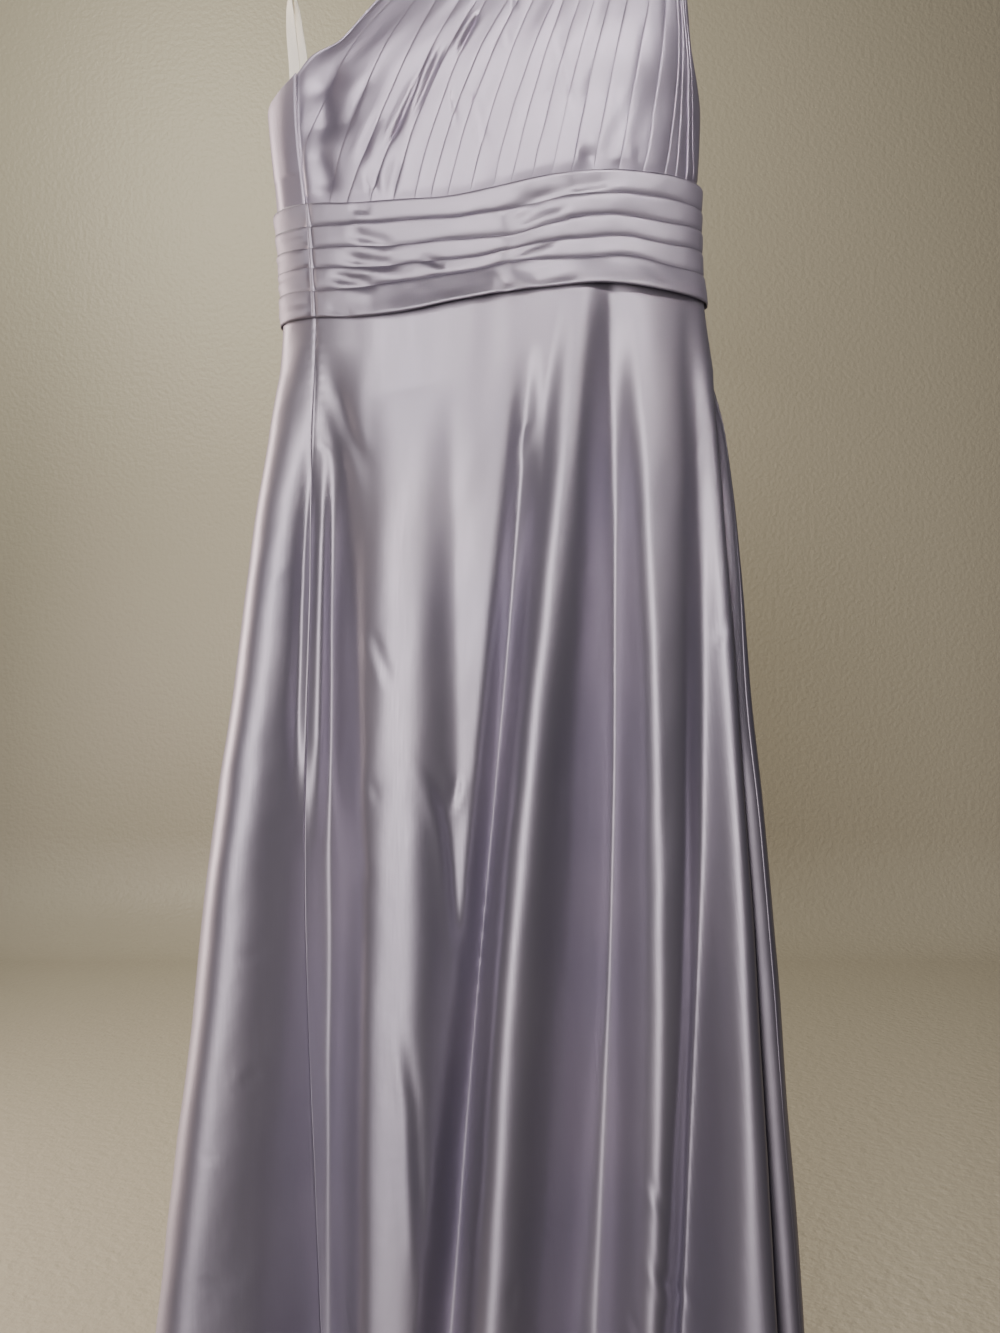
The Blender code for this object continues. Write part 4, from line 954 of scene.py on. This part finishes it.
# %% The front without its pleats
def soften(grid, reach):
    """A Gaussian average down each column. It rounds the bend where the side seam gives way to the neckline,
    and leaves the first and last rows alone."""
    spans = np.arange(-2 * reach, 2 * reach + 1)
    weights = bell(spans, reach)
    padded = np.concatenate([grid[:1].repeat(2 * reach, 0), grid, grid[-1:].repeat(2 * reach, 0)])
    mean = sum(w * padded[i:i + len(grid)] for i, w in enumerate(weights)) / weights.sum()
    rows = np.arange(len(grid))
    held = ramp(np.minimum(rows, rows[::-1]), 0, 2 * reach)[:, None, None]
    return grid + (mean - grid) * held


FRONT_COLUMNS, FRONT_LOWER_ROWS, FRONT_UPPER_ROWS = 260, 46, 74
SOFTEN_ROWS = 9
EDGE_HELD = 0.05        # share of the width from each edge over which the softening comes in


def plain_front():
    """The loft from the ring at the underarm to the shoulder, bent to the neckline and the armhole."""
    (left,), (right,) = seam_angles(UNDERARM_RIGHT_Z)
    shares = np.linspace(0, 1, FRONT_COLUMNS)
    lower = bodice_ring_rows(left, right, shares, np.linspace(0, 1, FRONT_LOWER_ROWS), PLEAT_SWEEP)
    levels = np.linspace(0, 1, FRONT_UPPER_ROWS)[1:]
    early, crowd = PLEAT_CROWD
    crowded = 1 - (1 - shares ** early) ** crowd
    strap = shoulder_line(crowded + (shares - crowded) * PLEAT_EVEN, -1)
    neck = path_through([lower[-1, 0], *NECKLINE_FRONT, strap[0]], levels)
    arm = path_through([lower[-1, -1], *ARMHOLE_FRONT, strap[-1]], levels)
    u, v = shares[None, :, None], levels[:, None, None]
    upper = (1 - v) * lower[-1] + v * strap
    upper += (1 - u) ** SIDE_REACH * (neck[:, None] - upper[:, :1])
    upper += u ** SIDE_REACH * (arm[:, None] - upper[:, -1:])
    sharp = np.concatenate([lower, upper])
    inside = (1 - np.exp(-u / EDGE_HELD)) * (1 - np.exp(-(1 - u) / EDGE_HELD))
    plain = sharp + (soften(sharp, SOFTEN_ROWS) - sharp) * inside
    return np.concatenate([plain, wrap_over_arm(plain[-1], -1)])


plain = plain_front()
print("front bodice grid:", plain.shape[:2])

# %% Where the pleats' folds lie
PLEAT_HEIGHTS = (-0.4288, -0.3967, -0.3646, -0.3325, -0.3004, -0.2763)
# For each fold: its X at those heights in millimetres, then how far it stands out low down and high up, as
# shares of PLEAT_RISE.
PLEATS = np.array([
    (-125.8, -124.2, -110.2, -92.9, -69.2, -48.1, 0.1, 0.35),
    (-100.3, -88.8, -78.2, -63.5, -44.8, -28, 0.4, 0.6),
    (-83.9, -68.4, -55.4, -40.8, -24, -10.3, 0.8, 0.8),
    (-63.5, -52.1, -38.4, -22.4, -5.5, 7.3, 1.0, 0.7),
    (-45.7, -36.8, -24, -10.3, 9.7, 21.8, 1.0, 1.0),
    (-30.4, -20, -7.9, 0.1, 16.9, 29.8, 0.7, 1.0),
    (-16.7, -7.1, 3.3, 15.3, 34.3, 46.6, 0.7, 1.3),
    (-3.1, 4.9, 15.3, 28.2, 43.4, 54.6, 0.7, 1.3),
    (14.5, 21.8, 32.2, 43.4, 56.3, 65.9, 0.6, 0.8),
    (32.2, 39.4, 48.2, 59.5, 73.1, 82.7, 0.6, 0.9),
    (45.8, 52.2, 60.3, 72.3, 82.7, 89.1, 0.7, 0.9),
    (61.9, 67.5, 76.3, 86.7, 94.8, 102, 0.6, 0.7),
    (77.9, 81.9, 89.9, 99.6, 107.6, 113.2, 0.6, 0.6),
    (93.2, 97.2, 104.4, 113.2, 119.6, 125.4, 0.9, 0.8),
    (110.8, 114, 122.1, 128.6, 134.3, 140.1, 0.9, 0.8),
    (131.1, 134.3, 142.5, 147.5, 152.4, 157.4, 0.7, 0.8),
    (150.8, 154.9, 161.7, 166.1, 169.7, 171.5, 0.7, 0.9),
    (167.9, 172.4, 180.5, 181.4, 181, 180.5, 0.6, 0.9),
    (178.7, 181.4, 186, 185.1, 184.2, 184.2, 0.7, 0.9),
    (187.9, 192.6, 192.6, 187.9, 186.4, 186, 1.0, 1.0),
    (195.4, 198.3, 196.4, 191.1, 188.8, 187.9, 0.9, 0.8),
])
PLEAT_LINES, PLEAT_LOW, PLEAT_HIGH = PLEATS[:, :-2] / 1000, PLEATS[:, -2], PLEATS[:, -1]
PLEAT_LEAST = 0.006     # the least width of a pleat, as a share of the front's


def fold_shares(grid):
    """For every row, the share of the width where each fold lies: where X passes the fold's line, a parabola
    fitted to the table. Above its last height a fold keeps its share and follows the loft to the shoulder."""
    shares = np.linspace(0, 1, grid.shape[1])
    known = int(np.argmax(grid[:, grid.shape[1] // 2, 2] > PLEAT_HEIGHTS[-1]))
    found = []
    for line in PLEAT_LINES:
        bend = np.polyfit(PLEAT_HEIGHTS, line, 2)
        past = grid[..., 0] - np.polyval(bend, np.minimum(grid[..., 2], PLEAT_HEIGHTS[-1]))
        past = np.maximum.accumulate(past, axis=1) + 1e-9 * shares
        found.append(read_rows(np.zeros((len(grid), 1)), past, shares)[:, 0])
    found = np.array(found).T
    found[known:] = found[known]
    row, fold = np.arange(len(grid))[:, None], np.arange(found.shape[1])[None, :]
    found += drift("pleat wander", row, fold)
    edges = np.concatenate([0 * found[:, :1], found, 1 + 0 * found[:, :1]], axis=1)
    least = PLEAT_LEAST * np.arange(edges.shape[1])
    edges = np.maximum.accumulate(edges - least, axis=1) + least
    return np.clip(edges, 0, 1 - least[::-1])


folds = fold_shares(plain)
print("pleats:", folds.shape[1] - 1)

# %% The pleats
# One pleat, as one tuck: shares of its width, and shares of its rise.
PLEAT_ACROSS, PLEAT_OUT = np.array([
    (0.15, 0.06), (0.09, 0.11), (0.04, 0.20), (0.012, 0.38), (0.0, 0.64), (0.012, 0.86), (0.05, 0.98),
    (0.12, 1.02), (0.24, 0.98), (0.40, 0.88), (0.58, 0.76), (0.76, 0.62), (0.90, 0.46), (1.0, 0.28),
    (1.08, 0.14),
]).T
PLEAT_TURN = 5          # points of the profile that lie behind the fold or on it
PLEAT_LOW_Z, PLEAT_HIGH_RUN = -0.44, 0.16       # from how far out low down to how far out high up
PLEAT_FADE = (0.02, 0.012)      # shares of the width over which the pleats rise beside the two side seams
ABOVE_BAND_SHARE = 0.25         # how much of its relief the bodice keeps under the band
TOP_ROWS = 4            # rows below the shoulder seam over which the relief ends

# Slits where a pleat has sprung open, dents above the band, and creases that cross the pleats.
BODICE_CREASES = (
    (2.2, 2.6, 0.5, (-21, -333), (-36, -364), (-55, -402)),
    (2.4, 3, 0.5, (-4, -312), (-20, -345), (-34, -378)), (2.4, 2.2, 0.5, (24, -288), (14, -306), (3, -327)),
    (4, 1.6, 0.4, (-64, -334), (-75, -354), (-88, -386)),
    (4.2, 1.6, 0.4, (-54, -362), (-64, -384), (-76, -412)),
    (4.2, 1.4, 0.3, (-70, -408), (-62, -426), (-56, -443)),
    (8, 2.6, 0.4, (-118, -385), (-106, -408), (-98, -436)),
    (15, 5, 0.4, (-116, -326), (-106, -356), (-104, -396)),
    (9, 2, 0.4, (-122, -345), (-100, -338), (-82, -330)),
    (4.5, 1.4, 0.4, (-42, -398), (-48, -418), (-52, -440)), (2, 0.7, 0.6, (0, -337), (2, -370), (5, -392)),
    (2.4, 0.8, 0.6, (16, -338), (18, -358), (26, -390), (32, -410)),
    (2.2, 0.8, 0.6, (42, -304), (46, -322)), (2.2, 1, 0.6, (50, -276), (51, -292)),
    (2.6, 0.5, 0.6, (80, -300), (88, -330), (100, -376)), (7, 2.6, 0.3, (106, -392), (118, -426)),
    (6, 2, 0.3, (130, -400), (142, -425)), (2.8, 0.8, 0.5, (152, -390), (146, -408)),
)


def at_shares(grid, shares):
    """Every row of the grid, read at that row's own shares of its width."""
    place = np.clip(shares, 0, 1) * (grid.shape[1] - 1)
    first = np.clip(place.astype(int), 0, grid.shape[1] - 2)
    part = (place - first)[..., None]
    rows = np.arange(len(grid))[:, None]
    return grid[rows, first] * (1 - part) + grid[rows, first + 1] * part


def pleated(grid, edges):
    """The profile of one pleat, repeated between the folds and laid on the plain front along its normal."""
    rows, count = len(grid), edges.shape[1] - 1
    row = np.arange(rows)[:, None]
    width = np.diff(edges, axis=1)
    shares = (edges[:, :-1, None] + width[..., None] * PLEAT_ACROSS).reshape(rows, -1)
    height_share = ramp(grid[:, :1, 2], PLEAT_LOW_Z, PLEAT_HIGH_RUN)
    strength = PLEAT_LOW + (PLEAT_HIGH - PLEAT_LOW) * height_share
    strength = np.concatenate([np.zeros((rows, 1)), strength], axis=1)
    strength = strength * (1 + drift("pleat height", row, np.arange(count)[None, :]))
    real = step_lengths(grid, 1).sum(axis=1)[:, None]
    rise = np.minimum(PLEAT_RISE * strength, PLEAT_STEEPEST * width * real)
    lifted = (rise[..., None] * PLEAT_OUT).reshape(rows, -1)
    # The first pleat has no fold of its own: it starts at the side seam. The last one ends at the other.
    shares, lifted = shares[:, PLEAT_TURN:-1], lifted[:, PLEAT_TURN:-1]
    shares[:, 0], shares[:, -1] = 0.0, 1.0
    lifted *= ramp(shares, 0, PLEAT_FADE[0]) * ramp(1 - shares, 0, PLEAT_FADE[1])
    places, normal = at_shares(grid, shares), at_shares(facing_out(grid, rising=True), shares)
    x, z = places[..., 0], places[..., 2]
    free = ramp(z, band_edge("upper", x, FRONT_ANGLE), RELEASE)
    near_top = ramp(rows - 1 - row, 0, TOP_ROWS)
    out = lifted * (ABOVE_BAND_SHARE + (1 - ABOVE_BAND_SHARE) * free)
    out += free * (furrow(x, z, BODICE_CREASES) + drift("bodice ripple", shares, z))
    out += free * seam_relief(shares * real, True)
    return places + normal * (out * near_top)[..., None]


front_pleated = pleated(plain, folds)[::-1]
cloth_piece(
    "pleated_front", front_pleated, bodice_satin, "bodice_front", 0.0005
)

# %% The plain back
BACK_COLUMNS, BACK_ROWS = 120, 72
BACK_RELEASE = 0.07     # share of the height in which the band lets the back go
BACK_NEAR = (0.004, 0.030)      # heights above the underarm over which the two ways to draw it in change
BACK_ARM_SHARE = 0.3    # share of the width that bends to the armhole
BACK_TURNED = 0.0008    # how far the neckline's edge is turned up
BACK_TURNED_SHARE = 0.1     # and the share of it, beside the strap, where that grows to the seam's height
BACK_EDGE_ROWS = 4


def plain_back():
    """The ring at each height, drawn towards the neckline between the underarm and the top, and bent to the
    armhole beside the right seam."""
    (left,), (right,) = seam_angles(UNDERARM_RIGHT_Z)
    on_strap = round(SHOULDER_SHARE * BACK_COLUMNS)
    strap_shares = np.linspace(0, SHOULDER_SHARE, on_strap + 1)
    neck_shares = np.linspace(SHOULDER_SHARE, 1, BACK_COLUMNS - on_strap)[1:]
    shares = np.concatenate([strap_shares, neck_shares])
    angle = spaced_angles(UNDERARM_RIGHT_Z, right, left + 2 * math.pi, shares)
    strap = shoulder_line(1 - strap_shares / SHOULDER_SHARE, 1)
    seam_top = ring_point(UNDERARM_LEFT_Z, left)
    past = (neck_shares - SHOULDER_SHARE) / (1 - SHOULDER_SHARE)
    neck = path_through([strap[-1], *NECKLINE_BACK, seam_top], past)
    top = np.concatenate([strap, neck])
    lower = bodice_ring_rows(right, left + 2 * math.pi, shares, (0, 1.0))
    side_top = lower[1, 0]
    above = (top[:, 2] - side_top[2])[None, :]
    levels = np.linspace(0, 1, BACK_ROWS)[:, None]
    z = lower[0, :, 2] + (top[:, 2] - lower[0, :, 2]) * levels
    on_ring = ring_point(z, angle[None, :], -DRAWN_IN * ramp(-levels, -BACK_RELEASE, BACK_RELEASE))
    near, span = BACK_NEAR
    drawn = ramp(z, side_top[2], np.maximum(above, near))
    steady = ramp(above, near, span)
    drawn = (steady * drawn + (1 - steady) * levels ** 3)[..., None]
    grid = on_ring + (top - on_ring) * drawn * np.array([1, 1, 0])
    rise = grid[:, 0, 2] > side_top[2]
    run = (grid[rise, 0, 2] - side_top[2]) / (strap[0, 2] - side_top[2])
    arm = path_through([side_top, *ARMHOLE_BACK, strap[0]], run)
    fade = (1 - ramp(shares, 0, BACK_ARM_SHARE))[None, :, None] ** 2
    grid[rise] += fade * (arm - grid[rise, 0])[:, None]
    lift = STRAP_BELOW / 2 + (BACK_TURNED - STRAP_BELOW / 2) * ramp(past, 0, BACK_TURNED_SHARE)
    up = np.stack([0 * lift, 0 * lift, lift], axis=-1)
    beyond = np.array([neck + up, neck + 2 * up])
    return np.concatenate([grid, np.concatenate([wrap_over_arm(strap, 1), beyond], axis=1)]), shares


back, back_shares = plain_back()
row = np.arange(len(back))
inner_rows = ramp(np.minimum(row, row[::-1]), 0, BACK_EDGE_ROWS)[:, None]
ease = drift("back sway", back_shares[None, :], back[..., 2])
ease += drift("back ripple", back_shares[None, :], back[..., 2])
back_cloth = (back + facing_out(back, rising=True) * (ease * inner_rows)[..., None])[::-1]
cloth_piece("plain_back", back_cloth, bodice_satin, "bodice_back", 0.0010)

# %% [markdown]
# ## What holds the dress
# A strip of cream ribbon is sewn inside the open side and hangs over a notch in the hanger, so that the
# shoulderless side stays up. Its two strands lie side by side. The hanger is one moulded board and the hook
# a bent, plated wire. The board's solid has the right shape, so it keeps it and only gets a finish.

# %% Ribbon
RIBBON_WIDTH, RIBBON_THICKNESS = 0.010, 0.0005
ribbon_satin = satin_finish("woven_ribbon_satin", "#fffdf2", "#fbf6e6", roughness=0.45, shine=0.0)
RIBBON_SPREAD, RIBBON_LAYER, RIBBON_SEWN = 0.0036, 0.0014, 0.012
RIBBON_INSIDE = 0.0048  # how far inside the seam's ring it is sewn
RIBBON_ROWS, RIBBON_COLUMNS = 160, 13
RIBBON_CROWN, SELVEDGE, SELVEDGE_AT, SELVEDGE_HALF = 0.00025, 0.0002, 0.94, 0.05
ARM_TOP_Z, ARM_SLOPE = -0.1074, math.radians(18)
ARM_CLEAR = 0.0057      # half the arm's thickness, and room for the ribbon
NOTCH_X = 0.147
NOTCH_TOP = ARM_TOP_Z - NOTCH_X * math.tan(ARM_SLOPE) - 0.0026
# A strand's share of the way up, with the share of the way to its side of the arm, and the ribbon's bend over
# the notch: shares of ARM_CLEAR, and the drop below its top.
RIBBON_CLIMB = ((0.04, 0.02), (0.25, 0.25), (0.5, 0.5), (0.75, 0.78), (0.90, 1.02))
RIBBON_BEND = ((-1.0, -0.0050), (-0.72, -0.0014), (0.0, 0.0), (0.72, -0.0014), (1.0, -0.0050))


def ribbon_route():
    """The ribbon's middle and its direction across, from inside the seam, over the notch and back down. Each
    strand leans to its own side by spread * sqrt(1 - share of the way up)."""
    left = seam_angles(UNDERARM_LEFT_Z)[0][0]
    inside = ring_point(UNDERARM_LEFT_Z, left, -RIBBON_INSIDE)
    facing = ring_point(UNDERARM_RIGHT_Z, left, 1.0) - ring_point(UNDERARM_RIGHT_Z, left)
    along_ring = np.cross(facing, (0, 0, 1))
    climb = [(0.0, 0.0, -RIBBON_SEWN), *((s, d, (NOTCH_TOP - inside[2]) * s) for s, d in RIBBON_CLIMB)]
    strands = []
    for side, layer in ((-1, 0), (1, RIBBON_LAYER)):
        strand = []
        for share, deep, lift in climb:
            place = inside - facing * layer * (1 - share)
            x = place[0] + (-NOTCH_X - inside[0]) * share
            y = place[1] + (side * ARM_CLEAR - inside[1]) * deep
            lean = -side * RIBBON_SPREAD * (1 - share) ** 0.5
            strand.append((x, y, inside[2] + lift, lean, 1 - share))
        strands.append(strand)
    over = [(-NOTCH_X, ARM_CLEAR * y, NOTCH_TOP + drop, 0.0, 0.0) for y, drop in RIBBON_BEND]
    coarse = strands[0] + over + strands[1][::-1]
    route = path_through(coarse, np.linspace(0, 1, RIBBON_ROWS))
    wide = route[:, 4:5] * along_ring + (1 - route[:, 4:5]) * np.array([1.0, 0, 0])
    wide = unit(wide)
    return route[:, :3] + wide * route[:, 3:4], wide


def ribbon_grid():
    """Across the ribbon, a soft crown and a rolled selvedge, carried along its route."""
    middle, wide = ribbon_route()
    across = np.linspace(-1, 1, RIBBON_COLUMNS)
    crown = RIBBON_CROWN * (1 - across ** 2) + SELVEDGE * bell(np.abs(across), SELVEDGE_HALF, SELVEDGE_AT)
    facing = unit(np.cross(wide, np.gradient(middle, axis=0)))
    ripple = drift("ribbon ripple", np.arange(len(middle))[:, None], across[None, :])
    grid = middle[:, None] + wide[:, None] * (across * RIBBON_WIDTH / 2)[None, :, None]
    return grid + facing[:, None] * (crown + ripple)[..., None]


cloth_piece(
    "loop_ribbon", ribbon_grid(), ribbon_satin, "hanger_loop", RIBBON_THICKNESS,
)

# %% Wire and board
def tube(path, radius, around):
    """A circle carried along the path. Its two directions are the path's normal in the XZ plane and Y."""
    side = np.cross(unit(np.gradient(path, axis=0)), [0.0, 1.0, 0.0])
    turn = np.linspace(0, 2 * math.pi, around, endpoint=False)[None, :, None]
    return path[:, None] + radius * (np.cos(turn) * side[:, None] + np.sin(turn) * np.array([0.0, 1.0, 0.0]))


def plated_wire():
    """Steel wire, zinc plated and drawn smooth: a cool, slightly clouded mirror."""
    made, tree, place = new_material("plated_steel_wire")
    cloud = ranged(tree, noise(tree, place, 240.0, 3.0), 0.20, 0.36)
    surface(tree, Base_Color=linear("#c4c4c6"), Metallic=1.0, Roughness=cloud)
    return made


def moulded_plastic():
    """White polypropylene, injection moulded: a faint orange peel and a soft gloss."""
    made, tree, place = new_material("moulded_polypropylene")
    peel = raised(tree, noise(tree, place, 420.0, 2.0), 0.12, 0.0002)
    surface(tree, Base_Color=linear("#e7e6e1"), Roughness=0.38, IOR=1.49, Normal=peel)
    return made


HOOK_WIRE, HOOK_RADIUS, HOOK_START, HOOK_TURN = 0.0018, 0.022, math.radians(-50), math.radians(215)
HOOK_STEM = ((0.0, ARM_TOP_Z - 0.0117), (0.0, -0.090), (0.001, -0.070), (0.005, -0.056))
TIP = np.array([1.0, 0.97, 0.85, 0.6, 0.3, 0.02])     # the wire's rounded end, as shares of its radius
HOOK_ROWS, WIRE_SIDES = 150, 20


def hook_path():
    """A straight stem, a swan neck and an arc: (r cos a, -R + r sin a), smoothed through their points."""
    turn = np.linspace(HOOK_START, HOOK_START + HOOK_TURN, 19)
    bend = HOOK_RADIUS + HOOK_WIRE
    arc = np.stack([bend * np.cos(turn), -HOOK_RADIUS + bend * np.sin(turn)], axis=-1)
    x, z = path_through([*HOOK_STEM, *arc], np.linspace(0, 1, HOOK_ROWS)).T
    return np.stack([x, 0 * x, z], axis=-1)


path = hook_path()
radius = np.full(len(path), HOOK_WIRE)
radius[-len(TIP):] *= TIP
radius[:2] = HOOK_WIRE * np.array([0.02, 1.0])
wire = tube(path, radius[:, None, None], WIRE_SIDES)
hook = mesh_object("wire_hook", wire, quads(len(path), WIRE_SIDES, close_columns=True), plated_wire())
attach(hook, "root")
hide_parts("hanger_hook")

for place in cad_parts["hanger"].material_slots:
    place.material = moulded_plastic()
print("hook wire:", round(2000 * HOOK_WIRE, 1), "mm thick")
